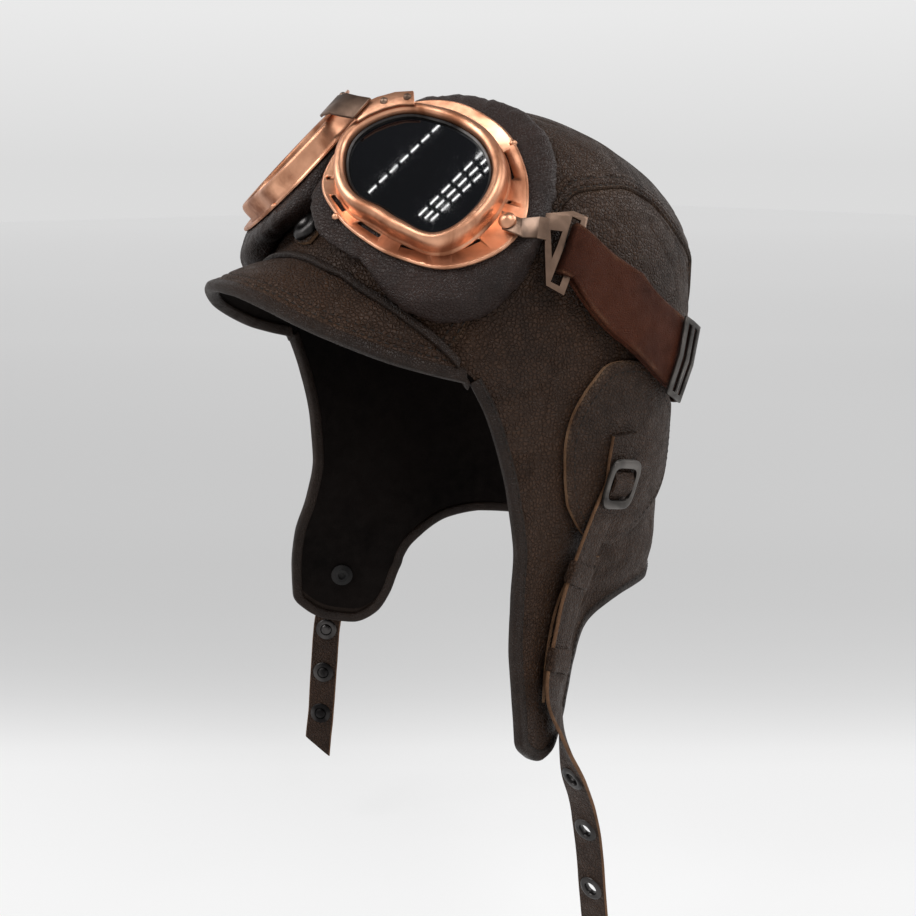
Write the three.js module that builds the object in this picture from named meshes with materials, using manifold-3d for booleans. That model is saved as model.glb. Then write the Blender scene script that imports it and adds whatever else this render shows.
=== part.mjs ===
// Leather flying helmet with goggles, in millimetres.
// +Z is up, the face opening looks along -Y and the wearer's left is +X.
// The origin is the inside of the crown on the midline, where the top of the head sits.
import * as THREE from "three";
import { mergeVertices } from "three/addons/utils/BufferGeometryUtils.js";
import Module from "manifold-3d";

const wasm = await Module();
wasm.setup();

// Driving sizes of the helmet
const HALF_WIDTH = 85.5;
const FRONT_REACH = 98;
const BACK_REACH = 94;
const CROWN_RISE = 62.5;
const SIDE_DEPTH = 192;
const APEX_SHIFT = 7.5;
const SIDE_DOME_POWER = 2.45;
const BACK_DOME_POWER = 1.5;
const FRONT_DOME_POWER = 1.3;
const FLARE_REACH = 58;
const WALL = 1.8;
const LINING = 1.0;
const LAYER_GAP = 0.4;
const SEAM_GAP = 2.2;
const HEM_WIDTH = 5;
const HEM_THICKNESS = 4.6;
const HEM_CLEAR = 1.8;
const TOUCH_GAP = 0.3;
const OVER_GAP = 0.6;

// Driving sizes of the peak
const PEAK_WIDTH = 146.6;
const PEAK_DEPTH = 64.7;
const PEAK_DROP = 33.3;
const PEAK_THICKNESS = 2.6;
const PEAK_ARCH = 3;
const PEAK_BINDING = 5.5;
const PEAK_BINDING_THICKNESS = 4.4;

// Driving sizes of the straps and what holds them
const PATCH_THICKNESS = 1.5;
const CHIN_STRAP_WIDTH = 14;
const CHIN_STRAP_THICKNESS = 1.8;
const KEEPER_LENGTH = 9;
const KEEPER_WALL = 0.9;
const BUCKLE_LENGTH = 21;
const BUCKLE_THICKNESS = 2;
const BUCKLE_OUTER = [9.3, BUCKLE_LENGTH / 2];
const BUCKLE_INNER = [7.3, 6.2];
const EYELET_RADIUS = 5.5;
const EYELET_BORE = 2.75;
const SNAP_RADIUS = 6.5;

// Driving sizes of the goggles
const GOGGLE_SPACING = 81.4;
const FLANGE_REACH = 46;
const FLANGE_THICKNESS = 1;
const OPENING_REACH = 35;
const BEZEL_WIDTH = 5;
const BEZEL_HEIGHT = 8.5;
const PAD_REACH = 58;
const LENS_THICKNESS = 2;
const LENS_LEVEL = 3;
const GOGGLE_STRAP_THICKNESS = 1.8;
const BRACKET_THICKNESS = 1.6;

// Heights that follow from the layers
const CROWN_TOP = WALL + LAYER_GAP + LINING;
const BROW_LEVEL = CROWN_TOP - CROWN_RISE;
const LINING_LIFT = -(WALL + LAYER_GAP);
const CENTRE_DROP = 20;
const HOLLOW_CENTRE = new THREE.Vector3(0, APEX_SHIFT, BROW_LEVEL - CENTRE_DROP);

const DEG = Math.PI / 180;
const clamp = (x, low, high) => Math.min(high, Math.max(low, x));
const mix = (a, b, t) => a + (b - a) * t;
const vec = (x, y, z) => new THREE.Vector3(x, y, z);

// Smooth curve through the rows of a table, without overshoot
function column(rows, key, name) {
  const xs = rows.map((r) => r[key]);
  const ys = rows.map((r) => r[name]);
  const n = xs.length;
  const h = xs.slice(1).map((x, i) => x - xs[i]);
  const d = h.map((w, i) => (ys[i + 1] - ys[i]) / w);
  const slope = xs.map((_, i) => {
    if (i === 0) return d[0];
    if (i === n - 1) return d[n - 2];
    if (d[i - 1] * d[i] <= 0) return 0;
    const a = 2 * h[i] + h[i - 1];
    const b = h[i] + 2 * h[i - 1];
    return (a + b) / (a / d[i - 1] + b / d[i]);
  });
  return (x) => {
    const q = clamp(x, xs[0], xs[n - 1]);
    let i = 0;
    while (i < n - 2 && q > xs[i + 1]) i += 1;
    const t = (q - xs[i]) / h[i];
    const a = (1 + 2 * t) * (1 - t) ** 2 * ys[i];
    const b = t * (1 - t) ** 2 * h[i] * slope[i];
    const c = t * t * (3 - 2 * t) * ys[i + 1];
    return a + b + c + t * t * (t - 1) * h[i] * slope[i + 1];
  };
}

// Level sections of the shell below the brow, as shares of the driving sizes
const SECTIONS = [
  { level: 0, width: 0.947, front: 0.939, back: 1, power: 2.1, flare: 0 },
  { level: 0.19, width: 1, front: 1, back: 0.915, power: 2.2, flare: 0.02 },
  { level: 0.354, width: 0.971, front: 0.99, back: 0.793, power: 2.2, flare: 0.09 },
  { level: 0.51, width: 0.942, front: 0.959, back: 0.801, power: 2.15, flare: 0.27 },
  { level: 0.615, width: 0.922, front: 0.934, back: 0.809, power: 2.12, flare: 0.43 },
  { level: 0.729, width: 0.903, front: 0.901, back: 0.766, power: 2.1, flare: 0.66 },
  { level: 0.833, width: 0.891, front: 0.878, back: 0.745, power: 2.1, flare: 0.8 },
  { level: 1.052, width: 0.865, front: 0.837, back: 0.713, power: 2.1, flare: 0.95 },
];

// How far the flaps stand out along the head, front to back
const FLARE = [
  { along: -70, push: 1 },
  { along: -60, push: 0.828 },
  { along: -50, push: 0.655 },
  { along: -30, push: 0.31 },
  { along: -12, push: 0 },
  { along: -2.5, push: -0.138 },
  { along: 8, push: -0.224 },
  { along: 25, push: -0.155 },
  { along: 45, push: 0 },
];

const sectionOf = Object.fromEntries(
  ["width", "front", "back", "power", "flare"].map((k) => [k, column(SECTIONS, "level", k)]),
);
const flarePush = column(FLARE, "along", "push");
const dropOf = (level) => level * (level < 0 ? CROWN_RISE : SIDE_DEPTH);
const levelOf = (drop) => drop / (drop < 0 ? CROWN_RISE : SIDE_DEPTH);
const levelHeight = (level) => BROW_LEVEL - dropOf(level);

function sectionAt(level) {
  const w = Math.max(level, 0);
  const t = clamp(-level, 0, 1);
  const dome = (power) => (1 - t ** power) ** (1 / power);
  return {
    width: HALF_WIDTH * sectionOf.width(w) * dome(SIDE_DOME_POWER),
    front: FRONT_REACH * sectionOf.front(w) * dome(FRONT_DOME_POWER),
    back: BACK_REACH * sectionOf.back(w) * dome(BACK_DOME_POWER),
    power: sectionOf.power(w),
    flare: sectionOf.flare(w),
    shift: APEX_SHIFT * (1 - t * t),
  };
}

// Point of the outer leather face: angle 0 is the brow, 90 the wearer's left side, 180 the nape
function skin(angle, level) {
  const s = sectionAt(level);
  const c = Math.cos(angle * DEG);
  const k = Math.sin(angle * DEG);
  const reach = c > 0 ? s.front : s.back;
  let x = s.width * Math.abs(k) ** (2 / s.power);
  const y = -Math.sign(c) * reach * Math.abs(c) ** (2 / s.power);
  x += s.flare * FLARE_REACH * flarePush(y) * clamp(x / 60, 0, 1);
  return vec(x * (k < 0 ? -1 : 1), y + s.shift, levelHeight(level));
}

function normalAt(angle, level) {
  const a = skin(angle + 0.2, level).sub(skin(angle - 0.2, level));
  const b = skin(angle, level + 0.002).sub(skin(angle, level - 0.002));
  return a.cross(b).normalize().negate();
}

function lifted(angle, level, lift) {
  return skin(angle, level).addScaledVector(normalAt(angle, level), lift);
}

// Above 0 outside the shell and below 0 inside it, away from the flaps
function outside(p) {
  const level = p.z > BROW_LEVEL ? (BROW_LEVEL - p.z) / CROWN_RISE : (BROW_LEVEL - p.z) / SIDE_DEPTH;
  if (level <= -1) return 1;
  const s = sectionAt(level);
  const y = p.y - s.shift;
  const reach = y < 0 ? s.front : s.back;
  return (Math.abs(p.x) / s.width) ** s.power + (Math.abs(y) / reach) ** s.power - 1;
}

// Angle and level where a ray from the hollow's centre leaves the shell
function rayExit(direction) {
  let near = 0;
  let far = 2 * (SIDE_DEPTH + CROWN_RISE);
  for (let i = 0; i < 40; i += 1) {
    const middle = (near + far) / 2;
    const inside = outside(HOLLOW_CENTRE.clone().addScaledVector(direction, middle)) < 0;
    if (inside) near = middle;
    else far = middle;
  }
  const p = HOLLOW_CENTRE.clone().addScaledVector(direction, near);
  const level = p.z > BROW_LEVEL ? (BROW_LEVEL - p.z) / CROWN_RISE : (BROW_LEVEL - p.z) / SIDE_DEPTH;
  const s = sectionAt(level);
  const y = p.y - s.shift;
  const across = (Math.abs(p.x) / s.width) ** (s.power / 2);
  const along = (Math.abs(y) / (y < 0 ? s.front : s.back)) ** (s.power / 2);
  return { angle: Math.atan2(across, y < 0 ? along : -along) / DEG, level };
}

// Seam between the crown panel and a side panel, brow to nape
const SEAM = [
  { share: 0, angle: 50.5, level: 0.13 },
  { share: 0.08, angle: 55, level: 0.071 },
  { share: 0.2, angle: 68, level: -0.21 },
  { share: 0.32, angle: 83.6, level: -0.48 },
  { share: 0.42, angle: 99.5, level: -0.5 },
  { share: 0.52, angle: 111.7, level: -0.42 },
  { share: 0.62, angle: 124, level: -0.16 },
  { share: 0.72, angle: 137, level: 0.042 },
  { share: 0.8, angle: 147, level: 0.167 },
  { share: 0.88, angle: 153, level: 0.349 },
  { share: 0.94, angle: 155, level: 0.534 },
  { share: 1, angle: 157, level: 0.719 },
];
const seamAngle = column(SEAM, "share", "angle");
const seamLevel = column(SEAM, "share", "level");

// Hem of a side panel: face edge, flap tip, rear of the flap and nape, with the seam share it fans from
const HEM = [
  { share: 0, seam: 0, angle: 55.4, level: 0.194 },
  { share: 0.06, seam: 0.12, angle: 60, level: 0.276 },
  { share: 0.12, seam: 0.22, angle: 64, level: 0.417 },
  { share: 0.17, seam: 0.27, angle: 64.3, level: 0.521 },
  { share: 0.22, seam: 0.31, angle: 61, level: 0.63 },
  { share: 0.27, seam: 0.34, angle: 56.2, level: 0.734 },
  { share: 0.32, seam: 0.36, angle: 54.7, level: 0.833 },
  { share: 0.36, seam: 0.38, angle: 54.5, level: 0.911 },
  { share: 0.4, seam: 0.4, angle: 59, level: 0.956 },
  { share: 0.44, seam: 0.41, angle: 67, level: 0.99 },
  { share: 0.48, seam: 0.42, angle: 75.5, level: 1 },
  { share: 0.52, seam: 0.44, angle: 82, level: 0.974 },
  { share: 0.57, seam: 0.46, angle: 86.3, level: 0.919 },
  { share: 0.62, seam: 0.48, angle: 89.5, level: 0.844 },
  { share: 0.67, seam: 0.5, angle: 92.5, level: 0.794 },
  { share: 0.73, seam: 0.55, angle: 99.6, level: 0.755 },
  { share: 0.8, seam: 0.62, angle: 112, level: 0.729 },
  { share: 0.87, seam: 0.76, angle: 128, level: 0.721 },
  { share: 1, seam: 0.94, angle: 157, level: 0.719 },
];
const hemAngle = column(HEM, "share", "angle");
const hemLevel = column(HEM, "share", "level");
const hemSeam = column(HEM, "share", "seam");
const FAN_EASE = 1.8;

// Hem point, moved in along the leather by inset, as angle and level
function hemPoint(share, inset = 0) {
  const angle = hemAngle(share);
  const level = hemLevel(share);
  if (inset === 0) return { angle, level };
  const before = clamp(share - 0.01, 0, 1);
  const after = clamp(share + 0.01, 0, 1);
  const along = skin(hemAngle(after), hemLevel(after)).sub(skin(hemAngle(before), hemLevel(before)));
  const inward = normalAt(angle, level).cross(along).normalize();
  const perAngle = skin(angle + 0.5, level).sub(skin(angle - 0.5, level));
  const perLevel = skin(angle, level + 0.005).sub(skin(angle, level - 0.005)).multiplyScalar(100);
  const aa = perAngle.dot(perAngle);
  const ab = perAngle.dot(perLevel);
  const bb = perLevel.dot(perLevel);
  const pa = inward.dot(perAngle) * inset;
  const pb = inward.dot(perLevel) * inset;
  const det = aa * bb - ab * ab;
  return { angle: angle + (pa * bb - pb * ab) / det, level: level + (pb * aa - pa * ab) / det };
}

// Closed body from points and triangles, turned so that its faces point out
function body(points, triangles) {
  let volume = 0;
  for (const [a, b, c] of triangles) {
    volume += points[a].dot(points[b].clone().cross(points[c]));
  }
  const position = [];
  for (const [a, b, c] of triangles) {
    const order = volume < 0 ? [a, c, b] : [a, b, c];
    for (const i of order) position.push(points[i].x, points[i].y, points[i].z);
  }
  const g = new THREE.BufferGeometry();
  g.setAttribute("position", new THREE.Float32BufferAttribute(position, 3));
  g.computeVertexNormals();
  return g;
}

// Wall between an outer and an inner grid: at(i, j, side) gives a point, side 0 outside and 1 inside
function wallGrid(rows, columns, at) {
  const points = [];
  const id = (i, j, side) => (side * (rows + 1) + i) * (columns + 1) + j;
  for (let side = 0; side < 2; side += 1) {
    for (let i = 0; i <= rows; i += 1) {
      for (let j = 0; j <= columns; j += 1) points.push(at(i, j, side));
    }
  }
  const triangles = [];
  const quad = (a, b, c, d) => triangles.push([a, b, c], [a, c, d]);
  for (let i = 0; i < rows; i += 1) {
    for (let j = 0; j < columns; j += 1) {
      quad(id(i, j, 0), id(i + 1, j, 0), id(i + 1, j + 1, 0), id(i, j + 1, 0));
      quad(id(i, j, 1), id(i, j + 1, 1), id(i + 1, j + 1, 1), id(i + 1, j, 1));
    }
    quad(id(i, 0, 0), id(i, 0, 1), id(i + 1, 0, 1), id(i + 1, 0, 0));
    quad(id(i, columns, 0), id(i + 1, columns, 0), id(i + 1, columns, 1), id(i, columns, 1));
  }
  for (let j = 0; j < columns; j += 1) {
    quad(id(0, j, 0), id(0, j + 1, 0), id(0, j + 1, 1), id(0, j, 1));
    quad(id(rows, j, 0), id(rows, j, 1), id(rows, j + 1, 1), id(rows, j + 1, 0));
  }
  return body(points, triangles);
}

// Sections joined in a row, each a loop of points, open with flat ends or closed on itself
function loft(sections, closed = false) {
  const n = sections[0].length;
  const points = sections.flat();
  const triangles = [];
  const last = closed ? sections.length : sections.length - 1;
  for (let i = 0; i < last; i += 1) {
    const next = (i + 1) % sections.length;
    for (let j = 0; j < n; j += 1) {
      const k = (j + 1) % n;
      triangles.push([i * n + j, next * n + j, next * n + k], [i * n + j, next * n + k, i * n + k]);
    }
  }
  if (!closed) {
    const end = (sections.length - 1) * n;
    for (let j = 1; j < n - 1; j += 1) triangles.push([0, j, j + 1], [end, end + j + 1, end + j]);
  }
  return body(points, triangles);
}

// Band along stations, each with its middle, the unit way across and the unit way up
function band(stations, width, thickness) {
  const corners = [[-1, -1], [1, -1], [1, 1], [-1, 1]];
  return loft(stations.map((s) => corners.map(([a, b]) => s.middle.clone()
    .addScaledVector(s.across, (a * width * (s.narrow ?? 1)) / 2)
    .addScaledVector(s.up, (b * thickness) / 2))));
}

const solidOf = (geometry) => {
  const bare = new THREE.BufferGeometry();
  const source = geometry.index ? geometry.toNonIndexed() : geometry;
  bare.setAttribute("position", source.getAttribute("position").clone());
  const merged = mergeVertices(bare, 1e-4);
  return new wasm.Manifold(new wasm.Mesh({
    numProp: 3,
    vertProperties: merged.attributes.position.array,
    triVerts: new Uint32Array(merged.index.array),
  }));
};

const geometryOf = (solid) => {
  const m = solid.getMesh();
  const g = new THREE.BufferGeometry();
  g.setAttribute("position", new THREE.BufferAttribute(new Float32Array(m.vertProperties), 3));
  g.setIndex(new THREE.BufferAttribute(new Uint32Array(m.triVerts), 1));
  return g;
};

function cut(geometry, tools) {
  return geometryOf(tools.reduce((s, t) => s.subtract(solidOf(t)), solidOf(geometry)));
}

const helmet = new THREE.Group();
helmet.name = "leather_flying_helmet";

const finish = (color, roughness, metalness = 0) =>
  new THREE.MeshStandardMaterial({ color, roughness, metalness });
const LEATHER = finish(0x3c322c, 0.55);
const PAD_LEATHER = finish(0x463c3c, 0.5);
const STRAP_LEATHER = finish(0x5a2d1c, 0.6);
const DARK_LINING = finish(0x140e0c, 0.85);
const COPPER = finish(0xc8825a, 0.35, 1);
const ANTIQUE = finish(0x786458, 0.4, 1);
const GUNMETAL = finish(0x3a3c3e, 0.35, 1);
const DARK_GLASS = finish(0x0a0c10, 0.05);

function add(name, geometry, material, parent = helmet) {
  const mesh = new THREE.Mesh(geometry, material);
  mesh.name = name;
  parent.add(mesh);
}

function mirrored(geometry) {
  const g = geometry.index ? geometry.toNonIndexed() : geometry.clone();
  const p = g.getAttribute("position");
  for (let i = 0; i < p.count; i += 3) {
    const v = [0, 2, 1].map((k) => [-p.getX(i + k), p.getY(i + k), p.getZ(i + k)]);
    v.forEach((q, k) => p.setXYZ(i + k, ...q));
  }
  return g;
}

function addPair(name, geometry, material, parent = helmet) {
  add(`${name}_left`, geometry, material, parent);
  add(`${name}_right`, mirrored(geometry), material, parent);
}

// Crown panel, a wide strip from the brow over the head to the nape
const ROOT = [
  { angle: 0, level: -0.08 },
  { angle: 8.5, level: -0.064 },
  { angle: 16.6, level: -0.024 },
  { angle: 26.3, level: 0.019 },
  { angle: 34.4, level: 0.047 },
  { angle: 41.6, level: 0.08 },
  { angle: 48.5, level: 0.118 },
  { angle: 54.2, level: 0.17 },
  { angle: 55.4, level: 0.194 },
];
const rootLevel = column(ROOT, "angle", "level");
const CROWN_FRONT_ANGLE = 15.3;
const CROWN_SWEEP = 224;
const ROOT_BLEND = 0.18;

function crownExit(share, across) {
  const a = (CROWN_FRONT_ANGLE + CROWN_SWEEP * share) * DEG;
  const middle = vec(0, -Math.cos(a), Math.sin(a));
  const edge = skin(seamAngle(share), seamLevel(share)).sub(HOLLOW_CENTRE);
  const top = rayExit(middle);
  middle.copy(skin(top.angle, top.level)).sub(HOLLOW_CENTRE);
  const turn = Math.abs(across) * 90 * DEG;
  const bend = 1 - Math.cos(turn);
  const toward = vec(edge.x * Math.sin(turn), mix(middle.y, edge.y, bend), mix(middle.z, edge.z, bend));
  return rayExit(toward.normalize());
}

function crownPoint(share, across, lift) {
  const reach = skin(seamAngle(share), seamLevel(share)).x;
  const trimmed = across * (1 - SEAM_GAP / reach);
  const e = crownExit(share, trimmed);
  const start = crownExit(0, trimmed);
  const fade = clamp(1 - share / ROOT_BLEND, 0, 1) ** 2;
  const level = e.level + fade * (rootLevel(start.angle) - start.level);
  const p = lifted(e.angle, level, lift);
  return across < 0 ? vec(-p.x, p.y, p.z) : p;
}

const CROWN_ROWS = 18;
const CROWN_COLUMNS = 10;
const NAPE_SHARE = 1 - (0.06 * (HEM_WIDTH + 3)) / (0.185 * SIDE_DEPTH);

function crownWall(columns, lift, thickness) {
  return wallGrid(CROWN_ROWS, columns, (i, j, side) =>
    crownPoint((NAPE_SHARE * i) / CROWN_ROWS, (2 * j) / columns - 1, lift - side * thickness));
}
add("crown", crownWall(CROWN_COLUMNS, 0, WALL), LEATHER);
add("crown_lining", crownWall(CROWN_COLUMNS / 2, LINING_LIFT, LINING), DARK_LINING);

// Side panels with their ear flaps, fanned from the seam to the hem
const SIDE_COLUMNS = 28;
const SIDE_ROWS = 7;

function sidePoint(share, down, lift) {
  const s = hemSeam(share);
  const top = { angle: seamAngle(s), level: seamLevel(s) };
  const end = hemPoint(share, HEM_WIDTH + HEM_CLEAR);
  const length = skin(top.angle, top.level).distanceTo(skin(end.angle, end.level));
  const t = mix(SEAM_GAP / 2 / length, 1, down);
  return lifted(mix(top.angle, end.angle, t ** FAN_EASE), mix(top.level, end.level, t), lift);
}

function sideWall(rows, lift, thickness) {
  return wallGrid(SIDE_COLUMNS, rows, (i, j, side) =>
    sidePoint(i / SIDE_COLUMNS, j / rows, lift - side * thickness));
}
addPair("side_panel", sideWall(SIDE_ROWS, 0, WALL), LEATHER);
addPair("side_lining", sideWall(SIDE_ROWS, LINING_LIFT, LINING), DARK_LINING);

// Turned and stitched hem that runs round the face edges, the flaps and the nape
const HEM_STEPS = SIDE_COLUMNS;
const HEM_SECTION = [[-1, 0.7], [0, 1], [1, 0.7], [1, -0.7], [0, -1], [-1, -0.7]];
const HEM_SINK = -(CROWN_TOP / 2);

function hemStation(share) {
  const p = hemPoint(share, HEM_WIDTH / 2);
  const before = hemPoint(clamp(share - 0.01, 0, 1), HEM_WIDTH / 2);
  const after = hemPoint(clamp(share + 0.01, 0, 1), HEM_WIDTH / 2);
  const along = skin(after.angle, after.level).sub(skin(before.angle, before.level)).normalize();
  const up = normalAt(p.angle, p.level);
  return { middle: lifted(p.angle, p.level, HEM_SINK), across: along.clone().cross(up).normalize(), up };
}

function hemLoop(s) {
  return HEM_SECTION.map(([a, b]) => s.middle.clone()
    .addScaledVector(s.across, (a * HEM_WIDTH) / 2)
    .addScaledVector(s.up, (b * HEM_THICKNESS) / 2));
}
const flipX = (p) => vec(-p.x, p.y, p.z);
const NAPE_STEPS = 5;
const leftHem = [];
for (let i = 0; i <= HEM_STEPS; i += 1) leftHem.push(hemLoop(hemStation(i / HEM_STEPS)));
const napeHem = [];
for (let i = 1; i < NAPE_STEPS; i += 1) {
  const angle = mix(HEM.at(-1).angle, 360 - HEM.at(-1).angle, i / NAPE_STEPS);
  const inset = (HEM_WIDTH / 2) / SIDE_DEPTH;
  const level = HEM.at(-1).level - inset;
  const up = normalAt(angle, level);
  const middle = lifted(angle, level, HEM_SINK);
  const down = skin(angle, level + 0.01).sub(skin(angle, level)).normalize();
  napeHem.push(hemLoop({ middle, across: down, up }));
}
const rightHem = leftHem.map((loop) => loop.map(flipX)).reverse();
add("hem_binding", loft([...leftHem, ...napeHem, ...rightHem]), LEATHER);

// Peak over the face opening, with its rolled edge
const PEAK_EDGE = [
  { across: 0, reach: 1, drop: 0 },
  { across: 0.1, reach: 0.995, drop: 0.005 },
  { across: 0.3, reach: 0.935, drop: 0.1 },
  { across: 0.505, reach: 0.818, drop: 0.288 },
  { across: 0.805, reach: 0.439, drop: 0.703 },
  { across: 0.94, reach: 0.17, drop: 0.9 },
  { across: 1, reach: 0, drop: 1 },
];
const peakReach = column(PEAK_EDGE, "across", "reach");
const peakDrop = column(PEAK_EDGE, "across", "drop");
const PEAK_CORNER = skin(ROOT.at(-1).angle, ROOT.at(-1).level);
const PEAK_STEPS = 16;
const PEAK_ROWS = 4;
const PEAK_END = 0.9;

function peakRoot(s) {
  const angle = ROOT.at(-1).angle * Math.abs(s) ** 0.95;
  const p = skin(angle, rootLevel(angle));
  return s < 0 ? flipX(p) : p;
}

function peakRim(s) {
  const a = Math.abs(s);
  const turn = Math.sin(a * 90 * DEG);
  const across = mix(a, turn, 0.45);
  return vec((Math.sign(s) * across * PEAK_WIDTH) / 2,
    PEAK_CORNER.y - PEAK_DEPTH * peakReach(across),
    PEAK_CORNER.z + PEAK_DROP * (1 - peakDrop(across)));
}

function peakFrame(s) {
  const root = peakRoot(s);
  const rim = peakRim(s);
  const out = rim.clone().sub(root);
  const side = peakRim(s + 0.02).sub(peakRim(s - 0.02));
  const up = side.clone().cross(out).normalize();
  if (up.z < 0) up.negate();
  return { root, rim, up, length: out.length(), out: out.normalize() };
}

function peakPoint(s, t, side) {
  const f = peakFrame(s);
  const start = OVER_GAP;
  const end = Math.max(f.length - PEAK_BINDING - TOUCH_GAP, start + 1.5);
  const reach = mix(start, end, t);
  const arch = (4 * PEAK_ARCH * reach * (f.length - reach)) / (f.length * PEAK_DEPTH);
  return f.root.clone().addScaledVector(f.out, reach)
    .addScaledVector(f.up, arch - side * PEAK_THICKNESS);
}
add("peak", wallGrid(PEAK_STEPS, PEAK_ROWS, (i, j, side) =>
  peakPoint(mix(-PEAK_END, PEAK_END, i / PEAK_STEPS), j / PEAK_ROWS, side)), LEATHER);

const BINDING_STEPS = 22;
const bindingLoops = [];
for (let i = 0; i <= BINDING_STEPS; i += 1) {
  const s = mix(-0.955, 0.955, i / BINDING_STEPS);
  const f = peakFrame(s);
  const middle = f.rim.clone().addScaledVector(f.out, -PEAK_BINDING / 2)
    .addScaledVector(f.up, -PEAK_THICKNESS / 2);
  bindingLoops.push(HEM_SECTION.map(([a, b]) => middle.clone()
    .addScaledVector(f.out, (a * PEAK_BINDING) / 2)
    .addScaledVector(f.up, (b * PEAK_BINDING_THICKNESS) / 2)));
}
add("peak_binding", loft(bindingLoops), LEATHER);

// Flat patch of leather with a smooth outline, laid over the shell
function patch(outline, centre, rings, lift, thickness) {
  const n = outline.length;
  const points = [];
  for (let side = 0; side < 2; side += 1) {
    points.push(lifted(centre.angle, centre.level, lift + (1 - side) * thickness));
    for (let r = 1; r <= rings; r += 1) {
      for (const o of outline) {
        const angle = mix(centre.angle, o.angle, r / rings);
        const level = mix(centre.level, o.level, r / rings);
        points.push(lifted(angle, level, lift + (1 - side) * thickness));
      }
    }
  }
  const half = 1 + rings * n;
  const id = (side, r, k) => side * half + (r === 0 ? 0 : 1 + (r - 1) * n + (k % n));
  const triangles = [];
  for (let k = 0; k < n; k += 1) {
    triangles.push([id(0, 0, 0), id(0, 1, k), id(0, 1, k + 1)], [id(1, 0, 0), id(1, 1, k + 1), id(1, 1, k)]);
    for (let r = 1; r < rings; r += 1) {
      const [a, b, c, d] = [id(0, r, k), id(0, r + 1, k), id(0, r + 1, k + 1), id(0, r, k + 1)];
      triangles.push([a, b, c], [a, c, d]);
      const [e, f, g, h] = [id(1, r, k), id(1, r, k + 1), id(1, r + 1, k + 1), id(1, r + 1, k)];
      triangles.push([e, f, g], [e, g, h]);
    }
    const [p, q, u, v] = [id(0, rings, k), id(1, rings, k), id(1, rings, k + 1), id(0, rings, k + 1)];
    triangles.push([p, q, u], [p, u, v]);
  }
  return body(points, triangles);
}

// Round piece built up of rings along an axis
function turned(rings, sides, middle, x, axis) {
  const z = x.clone().cross(axis);
  return loft(rings.map(({ r, h }) => Array.from({ length: sides }, (_, k) => middle.clone()
    .addScaledVector(x, r * Math.cos((2 * Math.PI * k) / sides))
    .addScaledVector(z, r * Math.sin((2 * Math.PI * k) / sides))
    .addScaledVector(axis, h))));
}

// Flat frame with a window: half sizes outside and inside, thickness centred on the middle
function frame(middle, x, y, outer, inner, thickness) {
  const up = x.clone().cross(y);
  const corners = [[-1, -1], [1, -1], [1, 1], [-1, 1]];
  const at = (a, b, c) => middle.clone().addScaledVector(x, a).addScaledVector(y, b).addScaledVector(up, c);
  return loft(corners.map(([a, b]) => [
    at(a * outer[0], b * outer[1], -thickness / 2), at(a * inner[0], b * inner[1], -thickness / 2),
    at(a * inner[0], b * inner[1], thickness / 2), at(a * outer[0], b * outer[1], thickness / 2),
  ]), true);
}

// Ear patch and the leather base that runs from it down the flap
const EAR_PATCH = [
  { angle: 112.1, level: 0.254 },
  { angle: 101.8, level: 0.192 },
  { angle: 90.1, level: 0.172 },
  { angle: 85, level: 0.203 },
  { angle: 80.6, level: 0.26 },
  { angle: 78.9, level: 0.316 },
  { angle: 78.9, level: 0.374 },
  { angle: 79.3, level: 0.429 },
  { angle: 80.6, level: 0.473 },
  { angle: 86.4, level: 0.54 },
  { angle: 96.3, level: 0.577 },
  { angle: 104.7, level: 0.561 },
  { angle: 115.7, level: 0.523 },
  { angle: 126.1, level: 0.457 },
  { angle: 126.4, level: 0.36 },
  { angle: 120.5, level: 0.296 },
];
const EAR_CENTRE = { angle: 98, level: 0.38 };
const PATCH_LIFT = 1;
addPair("ear_patch", patch(EAR_PATCH, EAR_CENTRE, 3, PATCH_LIFT, PATCH_THICKNESS), LEATHER);

const BASE_EDGES = [
  { share: 0, front: 85.2, rear: 93.5, level: 0.598 },
  { share: 0.25, front: 77, rear: 90, level: 0.66 },
  { share: 0.5, front: 71.3, rear: 85, level: 0.73 },
  { share: 0.75, front: 67.6, rear: 81.5, level: 0.8 },
  { share: 1, front: 66, rear: 79.5, level: 0.858 },
];
const baseFront = column(BASE_EDGES, "share", "front");
const baseRear = column(BASE_EDGES, "share", "rear");
const baseLevel = column(BASE_EDGES, "share", "level");
addPair("strap_base", wallGrid(8, 3, (i, j, side) => lifted(
  mix(baseFront(i / 8), baseRear(i / 8), j / 3), baseLevel(i / 8) + 0.012 * (j / 3 - 0.5),
  PATCH_LIFT + (1 - side) * PATCH_THICKNESS)), LEATHER);

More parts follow.
